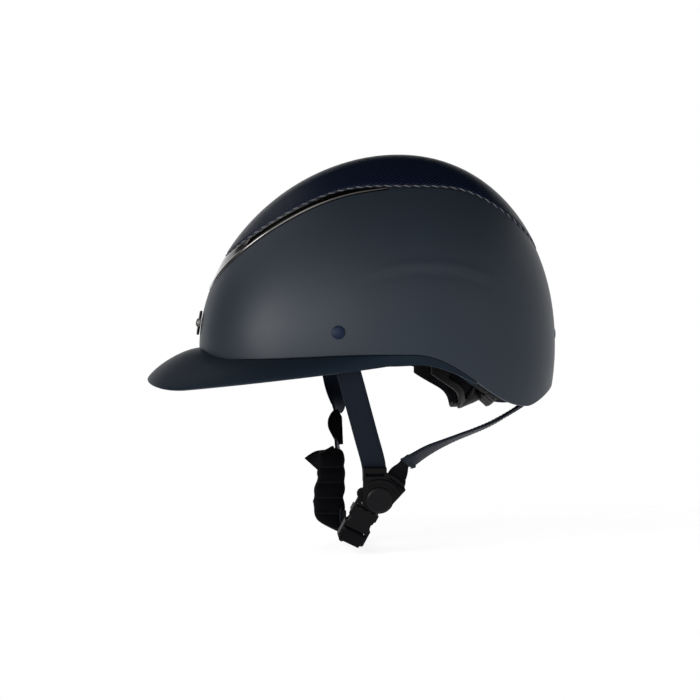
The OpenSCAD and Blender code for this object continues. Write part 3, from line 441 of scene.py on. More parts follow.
grain(lacquer, 1400, 1, 0.02, 0.25)
finish(shell, lacquer, "outer_shell")

# Top panel: one pressed sheet of navy carbon weave under clear lacquer, dropped into the shell's seat and
# bonded there. Its twill runs in fine diagonal lines over the crown.


def axes(mat, kind="Object", stretch=None):
    """The three numbers that say where a point of the surface lies."""
    return put(mat, "ShaderNodeSeparateXYZ", [(0, place_on(mat, kind, stretch))]).outputs


panel_rows = 34
grid_out = []
grid_in = []
grid_lay = []
panel_rise = 0.8
panel_under = -1.0
top = form(90, top_z, panel_rise)
for phi in headings:
    edge = panel_edge(phi)
    levels = [edge, edge + 0.7, edge + 1.5] + to_crown(phi, edge + 1.5, panel_rows)
    column = [form(phi, z, (0.1, 0.55, panel_rise)[min(r, 2)]) for r, z in enumerate(levels)]
    grid_out.append(column)
    grid_in.append([form(phi, z, panel_under) for z in levels])
    run = 0
    lays = []
    last = top
    for p in reversed(column):
        run += (p - last).length
        last = p
        lays.append((run * sine(phi), -run * cosine(phi)))
    grid_lay.append(lays[::-1])
panel = wall("top_panel_skin", as_rows(grid_out), as_rows(grid_in),
             tops=[top, form(90, top_z, panel_under)], lay=as_rows(grid_lay))
rounded(panel, 0.35, 2)
weave = paint("navy_carbon_weave", (0.004, 0.007, 0.02), 0.35, shine=0.07)
tow = 0.85
u, v, _ = axes(weave, "UV", (1 / tow, 1 / tow, 1))
tows = figure(weave, "ADD", figure(weave, "FLOOR", u), figure(weave, "FLOOR", v))
over = figure(weave, "LESS_THAN", figure(weave, "FLOORED_MODULO", tows, 4), 1.5)
ridge_u, ridge_v = [figure(weave, "SINE", figure(weave, "MULTIPLY", figure(weave, "FRACT", way), math.pi))
                    for way in (u, v)]
ridge = figure(weave, "ADD", figure(weave, "MULTIPLY", ridge_u, over),
               figure(weave, "MULTIPLY", ridge_v, figure(weave, "SUBTRACT", 1, over)))
# painted sheen: the tows that lie on top are coloured lighter than those under them; the twill pattern itself
# is real
two_colours(weave, over, (0.0036, 0.0064, 0.0165), (0.0078, 0.0145, 0.036))
drive(weave, "Specular IOR Level", spread(weave, over, 0.03, 0.16))
drive(weave, "Roughness", spread(weave, over, 0.28, 0.42))
relief(weave, ridge, 0.05, 0.6)
finish(panel, weave, "top_panel")

# Panel piping: a cord of three twisted strands, one silver-grey and two dark, laid in the joint between the
# panel and the shell. It follows the panel's edge all the way round and stands a little proud of both.


def nodes_tree(name, knobs):
    """A node tree that takes a mesh and gives one back, with named inputs. Gives back the tree, its two ends
    and what a modifier has to set."""
    group = bpy.data.node_groups.new(name, "GeometryNodeTree")
    for way in ("INPUT", "OUTPUT"):
        group.interface.new_socket("Geometry", in_out=way, socket_type="NodeSocketGeometry")
    sets = {}
    for knob, value in knobs.items():
        kind = "NodeSocketFloat" if isinstance(value, float) else "NodeSocketObject"
        sets[group.interface.new_socket(knob, in_out="INPUT", socket_type=kind).identifier] = value
    return group, group.nodes.new("NodeGroupInput"), group.nodes.new("NodeGroupOutput"), sets


def ended(group, made, shape, mat):
    """Ends a tree: what it made becomes real mesh and gets its material."""
    real = put(group, "GeometryNodeRealizeInstances", [("Geometry", shape)])
    dyed = put(group, "GeometryNodeSetMaterial", [("Geometry", real), ("Material", mat)])
    group.links.new(dyed.outputs[0], made.inputs[0])


def smooth_all(mesh):
    for polygon in mesh.polygons:
        polygon.use_smooth = True


def grown(obj, group, sets, name):
    """Runs a node tree on an object once, with its inputs set, and gives back what it made as plain mesh."""
    maker = change(obj, "made", "NODES", node_group=group)
    for identifier, value in sets.items():
        maker[identifier] = value
    bpy.context.view_layer.update()
    ready = obj.evaluated_get(bpy.context.evaluated_depsgraph_get())
    mesh = bpy.data.meshes.new_from_object(ready)
    mesh.name = name
    bpy.data.objects.remove(obj, do_unlink=True)
    smooth_all(mesh)
    return placed(name, mesh)


def line(name, lines, closed=False):
    """Loose edges through points in millimetres, for a node tree to follow."""
    points = []
    edges = []
    for way in lines:
        first = len(points)
        points += metres(way)
        edges += [(first + i, first + i + 1) for i in range(len(way) - 1)]
        if closed:
            edges.append((first + len(way) - 1, first))
    return placed(name, meshed(name, points, edges))


thread = paint("silver_grey_thread", (0.2, 0.21, 0.245), 0.62, shine=0.2)
bright_strand = put(thread, "ShaderNodeAttribute", attribute_name="bright")
two_colours(thread, bright_strand.outputs["Fac"], (0.035, 0.04, 0.055), (0.27, 0.285, 0.325))
grain(thread, 5200, 1, 0.05, 0.6)

group, given, made, sets = nodes_tree(
    "twisted_cord", {"Twist length": 0.0072, "Strand radius": 0.00038, "Step": 0.00042})
follow = put(group, "GeometryNodeMeshToCurve", [("Mesh", given)])
even = put(group, "GeometryNodeResampleCurve", [("Curve", follow), ("Length", given.outputs["Step"])],
           mode="LENGTH")
run = put(group, "GeometryNodeSplineParameter")
turns = figure(group, "DIVIDE", run.outputs["Length"], given.outputs["Twist length"])
tilt = figure(group, "MULTIPLY", turns, 2 * math.pi)
twisted = put(group, "GeometryNodeSetCurveTilt", [("Curve", even), ("Tilt", tilt)])
radius = given.outputs["Strand radius"]
three = put(group, "GeometryNodeMeshCircle", [("Vertices", 3), ("Radius", radius)])
strand = put(group, "GeometryNodeCurvePrimitiveCircle", [("Resolution", 8), ("Radius", radius)], mode="RADIUS")
strands = put(group, "GeometryNodeInstanceOnPoints", [("Points", three), ("Instance", strand)])
first = figure(group, "LESS_THAN", put(group, "GeometryNodeInputIndex"), 0.5)
marked = put(group, "GeometryNodeStoreNamedAttribute",
             [("Geometry", strands), ("Name", "bright"), ("Value", first)],
             data_type="FLOAT", domain="INSTANCE")
profile = put(group, "GeometryNodeRealizeInstances", [("Geometry", marked)])
swept = put(group, "GeometryNodeCurveToMesh", [("Curve", twisted), ("Profile Curve", profile)])
ended(group, made, swept, thread)
path = [form(phi, panel_edge(phi) - 1.05, -0.1) for phi in (360 * c / 720 for c in range(720))]
piping = grown(line("piping_way", [path], closed=True), group, sets, "panel_piping_cord")
finish(piping, thread, "panel_piping")

# Vent frame: a smoked-chrome moulding clipped into the crescent over the brow. Its lower rim stands proud,
# the middle is closed in front and open on both sides, where a black mesh lies behind it.
frame_rows = [0, 0.04, 0.09, 0.12, 0.15, 0.2, 0.28, 0.4, 0.56, 0.7, 0.84, 0.9, 0.96, 1]
frame_out = [0.2, 0.7, 1.0, 1.1, 1.0, 0.6, 0.3, 0.2, 0.15, 0.2, 0.3, 0.35, 0.3, 0.1]
frame_phi = steps(-83.6, 83.6, 220)


def vent_level(phi, share):
    """A level inside the vent, from its lower edge at 0 to its upper one at 1."""
    return between(vent_low(phi) + 0.3, seat_edge(phi) - 0.3, share)


frame_back = -1.7
open_rows = range(6, 10)
grid_out = [[form(phi, vent_level(phi, share), off) for phi in frame_phi]
            for share, off in zip(frame_rows, frame_out)]
grid_in = [[form(phi, vent_level(phi, share), 0.2 * off + frame_back) for phi in frame_phi]
           for share, off in zip(frame_rows, frame_out)]
vent = wall("vent_frame_moulding", grid_out, grid_in, closed=False,
            is_open=lambda r, c: r in open_rows and 24 < abs((frame_phi[c] + frame_phi[c + 1]) / 2) < 54)
rounded(vent, 0.3, 2)
smoked = paint("smoked_chrome", (0.1, 0.1, 0.11), 0.16, metal=1.0)
# painted reflection: the front of the frame is coloured bright, as if it mirrored the white sweep, and fades
# to dark smoked chrome towards the rear
painted_reflection_fade = fading(smoked, axes(smoked)[1], -0.131, -0.114)
two_colours(smoked, painted_reflection_fade, (0.5, 0.5, 0.53), (0.07, 0.067, 0.065))
uneven(smoked, 0.13, 0.2, 240, 3)
grain(smoked, 60, 2, 0.05, 0.15)
finish(vent, smoked, "vent_frame")

# Vent mesh: black wire in hexagons, 0.7 mm thick, behind the frame's two open parts. Its rim is tucked between
# the frame and the liner.
wire = paint("black_wire", (0.008, 0.008, 0.009), 0.42, metal=0.4)
uneven(wire, 0.35, 0.5, 400, 2)
group, given, made, sets = nodes_tree("wire_mesh", {"Wire radius": 0.00036})
cells = put(group, "GeometryNodeDualMesh", [("Mesh", given)])
ways = put(group, "GeometryNodeMeshToCurve", [("Mesh", cells)])
ring = put(group, "GeometryNodeCurvePrimitiveCircle",
           [("Resolution", 5), ("Radius", given.outputs["Wire radius"])], mode="RADIUS")
wires = put(group, "GeometryNodeCurveToMesh", [("Curve", ways), ("Profile Curve", ring)])
ended(group, made, wires, wire)
cells_across = 34
cells_up = 7
points = []
faces = []
for side in (1, -1):
    first = len(points)
    for j in range(cells_up + 1):
        for i in range(cells_across + 1):
            phi = 23 + 32 * min(cells_across, max(0, i + 0.5 * (j % 2))) / cells_across
            points.append(form(side * phi, vent_level(side * phi, 0.2 + 0.7 * j / cells_up), -2.6))
    for j in range(cells_up):
        for i in range(cells_across):
            a = first + j * (cells_across + 1) + i
            b = a + cells_across + 1
            faces += [(a, a + 1, b), (a + 1, b + 1, b)] if j % 2 == 0 else [(a, a + 1, b + 1), (a, b + 1, b)]
grille = placed("grille", meshed("grille", metres(points), faces=faces))
vent_wire = grown(grille, group, sets, "vent_mesh_wire")
finish(vent_wire, wire, "vent_mesh")

# Peak and side band: one satin navy moulding that runs from ear to ear under the rim, widens to the peak in
# front and is glued up inside the shell by its flange.
band_deep = 8.5
rim_gap = 0.4
flange_out = -3.6
flange_in = -5.1


def reach(phi):
    """How far the peak stands out from the shell."""
    return 40 * max(0, cosine(phi)) ** 1.3


def plan_out(phi):
    """The level direction straight away from the shell."""
    d = form(phi + 1, girth_z) - form(phi - 1, girth_z)
    return Vector((d.y, -d.x, 0)).normalized()


def edge_level(y):
    """The level of the peak's and the side band's lower edge."""
    if y < 0:
        tip = min(1, max(0, (-y - 148) / 28.4))
        return 2.5 - band_deep - 18 * (-y / 155) ** 0.9 + 10.5 * (1 - (1 - tip * tip) ** 0.5)
    return rim_at(y) - band_deep + 6.9 * max(0, (y - 5) / 66) ** 1.6


def peak_top(phi, t):
    """A point of the upper face, from the shell at 0 to the edge at 1."""
    lip = 4.5 * max(0, cosine(phi)) ** 10
    a = form(phi, rim(phi) - rim_gap)
    b = a + plan_out(phi) * reach(phi)
    drop = 0.8 * t ** 1.5 + 0.2 * (1 - max(0, 1 - t ** 4) ** 0.5)
    if lip > 0.05:
        a = form(phi, rim(phi) - rim_gap + lip)
    return Vector((between(a.x, b.x, t), between(a.y, b.y, t), between(a.z, edge_level(b.y), drop)))


def peak_under(phi, t):
    """The point of the lower face under it, nearer at the edge."""
    d = peak_top(phi, min(1, t + 0.02)) - peak_top(phi, max(0, t - 0.02))
    n = (plan_out(phi) * -d.z + Vector((0, 0, d.dot(plan_out(phi))))).normalized()
    return peak_top(phi, t) - n * 2.8 * (0.7 if t > 0.9 else 1)


phis = steps(-113, 113, 226)
shares = [1, 0.99, 0.97, 0.93, 0.85, 0.75, 0.65, 0.55, 0.45, 0.36, 0.28, 0.18, 0.08, 0]
flange_high = 11
grid_out = [[peak_top(phi, t) for phi in phis] for t in shares]
grid_out += [[form(phi, rim(phi) + up, flange_out) for phi in phis] for up in (-rim_gap, flange_high)]
grid_in = []
for t in shares:
    if t < 0.3:
        drop = between(2.8, 3.3, t / 0.28)
        root = [form(phi, rim(phi) - rim_gap - drop, flange_in) for phi in phis]
        grid_in.append([between(p, peak_under(phi, 0.3), t / 0.3) for p, phi in zip(root, phis)])
    else:
        grid_in.append([peak_under(phi, t) for phi in phis])
grid_in += [[form(phi, rim(phi) + up, flange_in) for phi in phis] for up in (0, flange_high)]
peak = wall("peak_moulding", grid_out, grid_in, closed=False)
rounded(peak, 0.55, 3)
peak_paint = paint("satin_navy_peak", (0.0118, 0.0195, 0.031), 0.45, shine=0.05)
uneven(peak_paint, 0.36, 0.45, 60, 4)
clouded(peak_paint, 20, 3, (0.0108, 0.018, 0.0288), (0.0128, 0.021, 0.0332))
grain(peak_paint, 1300, 1, 0.02, 0.25)
finish(peak, peak_paint, "peak")

# Badge: a plain disc over the brow with a small stud in its middle, turned from metal and polished. It sits on
# the shell's front between the vent and the peak and carries no mark.


def outward(phi, z):
    """The direction straight away from the form."""
    return (form(phi + 1, z) - form(phi - 1, z)).cross(form(phi, z + 1) - form(phi, z - 1)).normalized()


def on_form(phi, z, off=0.0):
    """The place on the form whose z points outward and x runs round it, in millimetres."""
    n = outward(phi, z)
    side = Vector((0, 0, 1)).cross(n).normalized()
    up = n.cross(side)
    p = form(phi, z) + n * off
    return Matrix(((side.x, up.x, n.x, p.x), (side.y, up.y, n.y, p.y), (side.z, up.z, n.z, p.z), (0, 0, 0, 1)))


def round_angles(count):
    return [2 * math.pi * k / count for k in range(count)]


def turned(name, outline, place, around=64):
    """A turned piece: an outline of (radius, height) points, closed on its axis, at a place."""
    points = []
    faces = []
    for radius, height in outline:
        if radius == 0:
            points.append([place @ Vector((0, 0, height))])
        else:
            points.append([place @ Vector((radius * math.cos(a), radius * math.sin(a), height))
                           for a in round_angles(around)])
    starts = [sum(len(r) for r in points[:i]) for i in range(len(points))]
    for i in range(len(points) - 1):
        a, b = points[i], points[i + 1]
        for k in range(around):
            j = (k + 1) % around
            if len(a) == 1 and len(b) > 1:
                faces.append((starts[i], starts[i + 1] + k, starts[i + 1] + j))
            elif len(b) == 1 and len(a) > 1:
                faces.append((starts[i] + k, starts[i] + j, starts[i + 1]))
            elif len(a) > 1:
                faces.append((starts[i] + k, starts[i] + j, starts[i + 1] + j, starts[i + 1] + k))
    return solid(name, [p for ring in points for p in ring], faces)


badge_outline = [(0, 0.3), (9.2, 0.3), (9.5, 0.6), (9.5, 1.9), (9.1, 2.35), (8.5, 2.5), (7.9, 2.3), (7.5, 1.9),
                 (5.8, 1.95), (4.2, 2.15), (3.4, 2.3), (3.3, 2.9), (2.9, 3.4), (2, 3.9), (1, 4.1), (0, 4.15)]
badge = turned("front_badge_disc", badge_outline, on_form(0, 27))
rounded(badge, 0.15, 2, 40)
polished = paint("polished_badge", (0.1, 0.098, 0.095), 0.2, metal=1.0)
uneven(polished, 0.12, 0.24, 500, 2)
finish(badge, polished, "front_badge")

# Shell rivets: three domed heads in satin navy, one a side over the temples and one at the nape, each
# through the shell with a shank that holds a strap anchor.
temple = 72.2
rivet_z = 19
rivet_phi = [temple, 180, 360 - temple]
rivet_blue = paint("rivet_navy", (0.008, 0.019, 0.043), 0.42, shine=0.1)
clouded(rivet_blue, 90, 3, (0.007, 0.015, 0.037), (0.011, 0.023, 0.054))
grain(rivet_blue, 1500, 1, 0.02, 0.2)
rivet_outline = [(0, -5.1), (2, -5.1), (2, 0.25), (4.7, 0.3), (5, 0.5), (4.95, 0.8), (4.6, 1.2), (3.8, 1.55),
                 (2.8, 1.8), (1.5, 1.95), (0, 2)]
head = turned("rivet_pattern", rivet_outline, Matrix.Identity(4), 48)
group, given, made, sets = nodes_tree("rivets", {"Head": head})
heading = put(group, "GeometryNodeInputNamedAttribute", [("Name", "out")], data_type="FLOAT_VECTOR")
turn = put(group, "FunctionNodeAlignRotationToVector", [("Vector", heading)], axis="Z")
one = put(group, "GeometryNodeObjectInfo", [("Object", given.outputs["Head"])], transform_space="ORIGINAL")
each = put(group, "GeometryNodeInstanceOnPoints",
           [("Points", given), ("Instance", one.outputs["Geometry"]), ("Rotation", turn)])
ended(group, made, each, rivet_blue)
spots = meshed("rivet_spots", [0.001 * form(phi, rivet_z) for phi in rivet_phi])
facing = spots.attributes.new("out", "FLOAT_VECTOR", "POINT")
for spot, phi in zip(facing.data, rivet_phi):
    spot.vector = outward(phi, rivet_z)
rivets = grown(placed("rivet_spots", spots), group, sets, "shell_rivet_heads")
bpy.data.objects.remove(head, do_unlink=True)
rounded(rivets, 0.12, 2, 40)
finish(rivets, rivet_blue, "shell_rivets")

# Strap anchors: three small stamped steel plates inside the shell, held by the rivets. The straps start
# under them.


def copied(node, name, flats=False):
    """The CAD node's form as one joined mesh, with its triangles joined to flat faces where flats is true."""
    obj = placed(name, cad[node].data.copy())
    obj.data.transform(cad[node].matrix_world)
    obj.data.name = name
    bm = bmesh.new()
    bm.from_mesh(obj.data)
    bmesh.ops.remove_doubles(bm, verts=bm.verts, dist=2e-6)
    if flats:
        bmesh.ops.dissolve_limit(bm, angle_limit=math.radians(1.5), verts=bm.verts, edges=bm.edges)
    bmesh.ops.recalc_face_normals(bm, faces=bm.faces)
    for face in bm.faces:
        face.smooth = True
    bm.to_mesh(obj.data)
    bm.free()
    return obj


def moulded(node, name, edge, mat, body="helmet", segments=2):
    """A piece in the CAD node's own form with rounded edges."""
    finish(rounded(copied(node, name, flats=True), edge, segments, 30), mat, node, body)


steel = paint("brushed_steel", (0.42, 0.42, 0.43), 0.34, metal=1.0)
uneven(steel, 0.25, 0.45, 300, 3, (1, 1, 14))
grain(steel, 500, 2, 0.02, 0.4, (1, 1, 20))
moulded("strap_anchors", "strap_anchor_plates", 0.25, steel)

# Liner: black expanded polystyrene, moulded in one piece and taped into the shell, with two air ports
# behind the vent. Its beads show as a fine pebbled skin.
liner_phi = [3 * c for c in range(120)]
side_rows = 10
port_row = 18
side_gap = -9.2
crown_gap = -3.8
liner_in = -25.7
grid_out = []
grid_in = []
for phi in liner_phi:
    low = rim(phi) + 1.6
    levels = (steps(low, 38, 9) + steps(48, vent_low(phi), 8) + [seat_edge(phi) - 0.3]
              + to_crown(phi, panel_edge(phi), 10))
    grid_out.append([form(phi, z, side_gap if r < side_rows else crown_gap) for r, z in enumerate(levels)])
    grid_in.append([form(phi, z + (4 if r == 0 else 0), liner_in) for r, z in enumerate(levels)])
liner = wall("liner_foam", as_rows(grid_out), as_rows(grid_in),
             is_open=lambda r, c: r == port_row and (27 <= liner_phi[c] < 45 or 315 <= liner_phi[c] < 333),
             tops=[form(90, top_z, crown_gap), form(90, top_z, liner_in)])
rounded(liner, 2.2, 3)
foam = paint("black_bead_foam", (0.01, 0.01, 0.011), 0.85, shine=0.06)
beads = put(foam, "ShaderNodeTexVoronoi", [("Vector", place_on(foam)), ("Scale", 330)])
relief(foam, figure(foam, "SUBTRACT", 1, beads), 0.35, 0.7)
# painted shade: each bead is coloured lighter on its top and darker towards the crevices between beads
two_colours(foam, beads.outputs["Distance"], (0.012, 0.012, 0.013), (0.005, 0.005, 0.006))
finish(liner, foam, "eps_liner")

# Comfort pads: knitted black cloth over soft foam, sewn into channels and held to the liner with hook tape:
# a long one round the brow, one at each temple and one under the crown.


def stuffed(node, name, cell, cap=0.9):
    """A pad blown up a little from the CAD form by a cloth simulation, its movement capped in millimetres."""
    obj = copied(node, name)
    change(obj, "even", "REMESH", mode="VOXEL", voxel_size=0.001 * cell)
    bpy.context.view_layer.objects.active = obj
    bpy.ops.object.select_all(action="DESELECT")
    obj.select_set(True)
    bpy.ops.object.modifier_apply(modifier="even")
    before = [v.co.copy() for v in obj.data.vertices]
    cloth = obj.modifiers.new("cloth", "CLOTH")
    for key, value in (("quality", 5), ("mass", 0.15), ("tension_stiffness", 12),
                       ("compression_stiffness", 12), ("bending_stiffness", 0.3),
                       ("use_pressure", True), ("uniform_pressure_force", 4)):
        setattr(cloth.settings, key, value)
    cloth.settings.effector_weights.gravity = 0
    cloth.point_cache.frame_start = 1
    cloth.point_cache.frame_end = 20
    for step in range(1, 21):
        bpy.context.scene.frame_set(step)
    bpy.ops.object.modifier_apply(modifier="cloth")
    bpy.context.scene.frame_set(1)
    for vert, was in zip(obj.data.vertices, before):
        move = vert.co - was
        if move.length > 0.001 * cap:
            vert.co = was + move * (0.001 * cap / move.length)
    smooth_all(obj.data)
    change(obj, "relaxed", "CORRECTIVE_SMOOTH", factor=0.5, iterations=4, use_only_smooth=True)
    change(obj, "finer", "SUBSURF", levels=1, render_levels=1)
    bpy.ops.object.modifier_apply(modifier="relaxed")
    bpy.ops.object.modifier_apply(modifier="finer")
    smooth_all(obj.data)
    return obj


def knitted(name, colour, size=1500):
    """Fine knitted cloth with small loops and a soft nap."""
    mat = paint(name, colour, 0.88, shine=0.03)
    loops = put(mat, "ShaderNodeTexVoronoi", [("Vector", place_on(mat)), ("Scale", size)])
    relief(mat, figure(mat, "SUBTRACT", 1, loops), 0.16, 0.7)
    grain(mat, 240, 3, 0.25, 0.35)
    # painted shade: each loop is coloured lighter in its middle and darker towards its edge, where the relief
    # dips between loops
    two_colours(mat, loops.outputs["Distance"], [1.35 * c for c in colour], [0.5 * c for c in colour])
    return mat


pad_cloth = knitted("black_knit", (0.006, 0.006, 0.008))
for node, cell, fill in (("brow_pad", 2.4, 0.6), ("side_pads", 2.4, 0.6), ("crown_pad", 3.2, 0.55)):
    pad = stuffed(node, node + "_cloth", cell)
    finish(pad, pad_cloth, node)

# Fit cradle: a flexible black nylon plate round the nape with a long window in each wing, a boss under the
# dial unit and its own thin pad.
nape_w = 74
nape_d = 62.6
nape_lean = 42


def nape(s, t, off):
    """A point of the cradle: how far round from -1 to 1, how far up and how far out, in millimetres."""
    lean = math.radians(nape_lean * (1 - abs(s) ** 1.5))
    a = math.radians(75 * s)
    base = Vector(((nape_w + off) * math.sin(a), 20 + (nape_d + off) * math.cos(a), -17 + 20 * abs(s) ** 2.5))
    out_way = Vector((math.sin(a) / nape_w, math.cos(a) / nape_d, 0)).normalized()
    return base + out_way * (t * math.sin(lean)) + Vector((0, 0, t * math.cos(lean)))


def nape_low(s):
    """The cradle's lower edge."""
    return -15 - 12.5 * math.exp(-(max(0, abs(s) - 0.34) / 0.2) ** 2)


def nape_high(s):
    """The cradle's upper edge."""
    return 13 - 4 * s * s


wing = steps(1, -1, 120)
shares = [0, 0.05, 0.11, 0.165, 0.22, 0.35, 0.48, 0.61, 0.74, 0.81, 0.88, 0.95, 1]
boss = [1.5, 5.5, 9, 11, 12, 8.2] + [0] * 7
grid_out = [[nape(s, between(nape_low(s), nape_high(s), v), high * max(0, 1 - (s / 0.3) ** 2)) for s in wing]
            for v, high in zip(shares, boss)]
grid_in = [[nape(s, between(nape_low(s), nape_high(s), v), -2.4) for s in wing] for v in shares]
cradle = wall("cradle_band", grid_out, grid_in, closed=False,
              is_open=lambda r, c: 4 <= r < 8 and 0.3 < abs((wing[c] + wing[c + 1]) / 2) < 0.8)
rounded(cradle, 0.8, 3)
nylon = paint("black_nylon", (0.006, 0.0062, 0.007), 0.5, shine=0.12)
grain(nylon, 2200, 2, 0.03, 0.5)
uneven(nylon, 0.44, 0.56, 120, 3)
finish(cradle, nylon, "cradle_plate", body="cradle")

nape_pad = stuffed("nape_pad", "nape_pad_cloth", 2.0, cap=0.6)
finish(nape_pad, pad_cloth, "nape_pad", body="cradle")

# Dial unit: a two-part nylon housing on the cradle. The ribbed grey knob turns an acetal pinion between two
# racks, which draw the arms in.
moulded("dial_housing", "dial_housing_shell", 0.35, nylon, "cradle")
moulded("housing_cover", "dial_housing_cover", 0.4, nylon, "cradle")
acetal = paint("off_white_acetal", (0.55, 0.54, 0.5), 0.4, shine=0.5)
grain(acetal, 1500, 1, 0.02, 0.3)
moulded("dial_pinion", "dial_pinion_gear", 0.12, acetal, "dial")
black_acetal = paint("black_acetal", (0.0038, 0.0038, 0.0046), 0.45, shine=0.07)
grain(black_acetal, 1900, 2, 0.025, 0.4)
uneven(black_acetal, 0.38, 0.5, 150, 3)
moulded("rack_left", "rack_left_strip", 0.12, black_acetal, "rack_l")
moulded("rack_right", "rack_right_strip", 0.12, black_acetal, "rack_r")
grip = paint("grey_grip", (0.045, 0.047, 0.052), 0.55, shine=0.4)
grain(grip, 1800, 2, 0.04, 0.5)
moulded("dial_knob", "dial_knob_grip", 0.3, grip, "dial")
gloss = paint("gloss_black", (0.007, 0.007, 0.008), 0.2, shine=0.3)
uneven(gloss, 0.16, 0.26, 100, 3)
moulded("dial_cap", "dial_cap_disc", 0.3, gloss, "dial")

# Fit arms: two flat nylon strips from the racks round the outside of the cradle to a stud at each temple. They
# are moulded straight and bend round the head as the racks draw them in.


def spline(points, count):
    """A smooth path through points, as many parts to each span."""
    path = []
    for i in range(len(points) - 1):
        a, b, c = points[max(0, i - 1)], points[i], points[i + 1]
        d = points[min(len(points) - 1, i + 2)]
        for j in range(count):
            t = j / count
            path.append((b * 2 + (c - a) * t + (a * 2 - b * 5 + c * 4 - d) * t * t
                         + (b * 3 - a - c * 3 + d) * t * t * t) / 2)
    return path + [points[-1]]


def strip(name, stations, wide, thick, parts=10):
    """A flat strip through stations, each a point and the direction of its width, with rounded edges.
    Returns the piece, and its two edge lines on each face for stitching."""
    ways = spline([Vector(p) for p, _ in stations], parts)
    widths = spline([Vector(w) for _, w in stations], parts)
    edge = thick * 0.42
    half = wide / 2
    flat = thick / 2
    outline = []
    for sx, sy, angles in ((1, -1, (-90, -45, 0)), (1, 1, (0, 45, 90)), (-1, 1, (90, 135, 180)),
                           (-1, -1, (180, 225, 270))):
        for a in angles:
            outline.append((sx * (half - edge) + edge * cosine(a), sy * (flat - edge) + edge * sine(a)))
        if sx == sy:
            outline += [(half * k, sy * flat) for k in (0.5 * sx, 0, -0.5 * sx)]
    points = []
    lay = []
    seams = [[], [], [], []]
    inset = half - 1.7
    run = 0
    for i, p in enumerate(ways):
        along = (ways[min(len(ways) - 1, i + 1)] - ways[max(0, i - 1)]).normalized()
        n = along.cross(widths[i]).normalized()
        s = n.cross(along)
        if i:
            run += (p - ways[i - 1]).length
        for x, y in outline:
            points.append(p + s * x + n * y)
            lay.append((x, run))
        for seam, (x, y) in zip(seams, ((inset, flat), (-inset, flat), (inset, -flat), (-inset, -flat))):
            seam.append(p + s * x + n * y)
    k = len(outline)
    faces = [(i * k + j, i * k + (j + 1) % k, (i + 1) * k + (j + 1) % k, (i + 1) * k + j)
             for i in range(len(ways) - 1) for j in range(k)]
    faces += [tuple(range(k)), tuple((len(ways) - 1) * k + j for j in reversed(range(k)))]
    return solid(name, points, faces, lay), seams


dial_at = Vector((0, 86.3, -20.2))
dial_up = Vector((0, sine(nape_lean), cosine(nape_lean)))
rack_off = (5 + 1.4 + 2.6 + 5 + 1.1) / 2


def nape_up(s):
    return (nape(s, 1, 0) - nape(s, 0, 0)).normalized()


for side, name in ((1, "arm_left"), (-1, "arm_right")):
    start = dial_at + Vector((side * 30.9, 0, 0)) + dial_up * rack_off * side
    pivot = Vector((side * 77.2, -12, 9))
    arm, _ = strip(name + "_strip", [
        (start, dial_up), (start + Vector((side * 4.5, -0.4, 0)), dial_up),
        (nape(side * 0.57, 2 + 5 * side, 6.2), nape_up(side * 0.57)),
        (nape(side * 0.78, 3 + side, 3.4), nape_up(side * 0.78)), (nape(side, 3, 3.4), (0, 0, 1)),
        (pivot + Vector((-1.5 * side, 18, -1.5)), (0, 0, 1)), (pivot, (0, 0, 1))], 7, 1.6, 12)
    finish(arm, nylon, name)
moulded("arm_studs", "arm_stud_heads", 0.25, nylon)

# Harness straps: smooth dark navy strap 18 mm wide with stitched edges, two from the temples and two from the
# nape, each riveted up inside the shell.
hang = math.radians(14)
cap_at = Vector((70, -3.3, -105.3))
behind = 4 / 2 + 0.3 + 0.9
layer = 2.1
strap_in = -6.9


def left_way(x, y, z):
    """A direction in the frame of the left fittings, which hang at an angle."""
    return Vector((x * math.cos(hang) + z * math.sin(hang), y, -x * math.sin(hang) + z * math.cos(hang)))


def left_point(x, y, z):
    """A point in that frame, from the middle of the divider's cap."""
    return cap_at + left_way(x, y, z)


def strap_head(side, phi, run):
    """Where a strap comes down from its rivet inside the shell."""
    stations = []
    for z in (26, 19, 10, 1, -7):
        a = phi + (rivet_z - z) * run
        p = form(a, z, strap_in)
        w = form(a + 3, z) - form(a - 3, z)
        stations.append((Vector((side * p.x, p.y, p.z)), Vector((side * w.x, w.y, w.z)).normalized()))
    return stations


strap_skin = paint("navy_strap", (0.0062, 0.0092, 0.0172), 0.5, shine=0.08)
groove = figure(strap_skin, "SUBTRACT", figure(strap_skin, "ABSOLUTE", axes(strap_skin, "UV")[0]), 7.3)
groove = figure(strap_skin, "MINIMUM", figure(strap_skin, "ABSOLUTE", groove), 0.5)
relief(strap_skin, groove, 0.5, 0.6)
grain(strap_skin, 900, 4, 0.08, 0.5)
clouded(strap_skin, 140, 4, (0.0052, 0.0078, 0.0148), (0.0074, 0.0108, 0.02))
uneven(strap_skin, 0.44, 0.6, 200, 3)


def band(node, stations):
    """A harness strap, and the lines that its stitching follows."""
    return strip(node + "_band", stations, 18, 1.8, 12)


along = left_way(0, 1, 0.12)
lean = 0.075
head = strap_head(1, temple, lean)
top_end = head[4][0]
low_end = left_point(-behind, -4.6, 27)
stations = head + [
    (between(top_end, low_end, 0.3) - Vector((1.2, 0, 0)), (0.1, 1, 0.24)),
    (between(top_end, low_end, 0.7), along),
    (low_end, along),
    (left_point(-behind, -3.5, 13.8), along)]
front_left, seams = band("front_strap_left", stations)
finish(front_left, strap_skin, "front_strap_left")

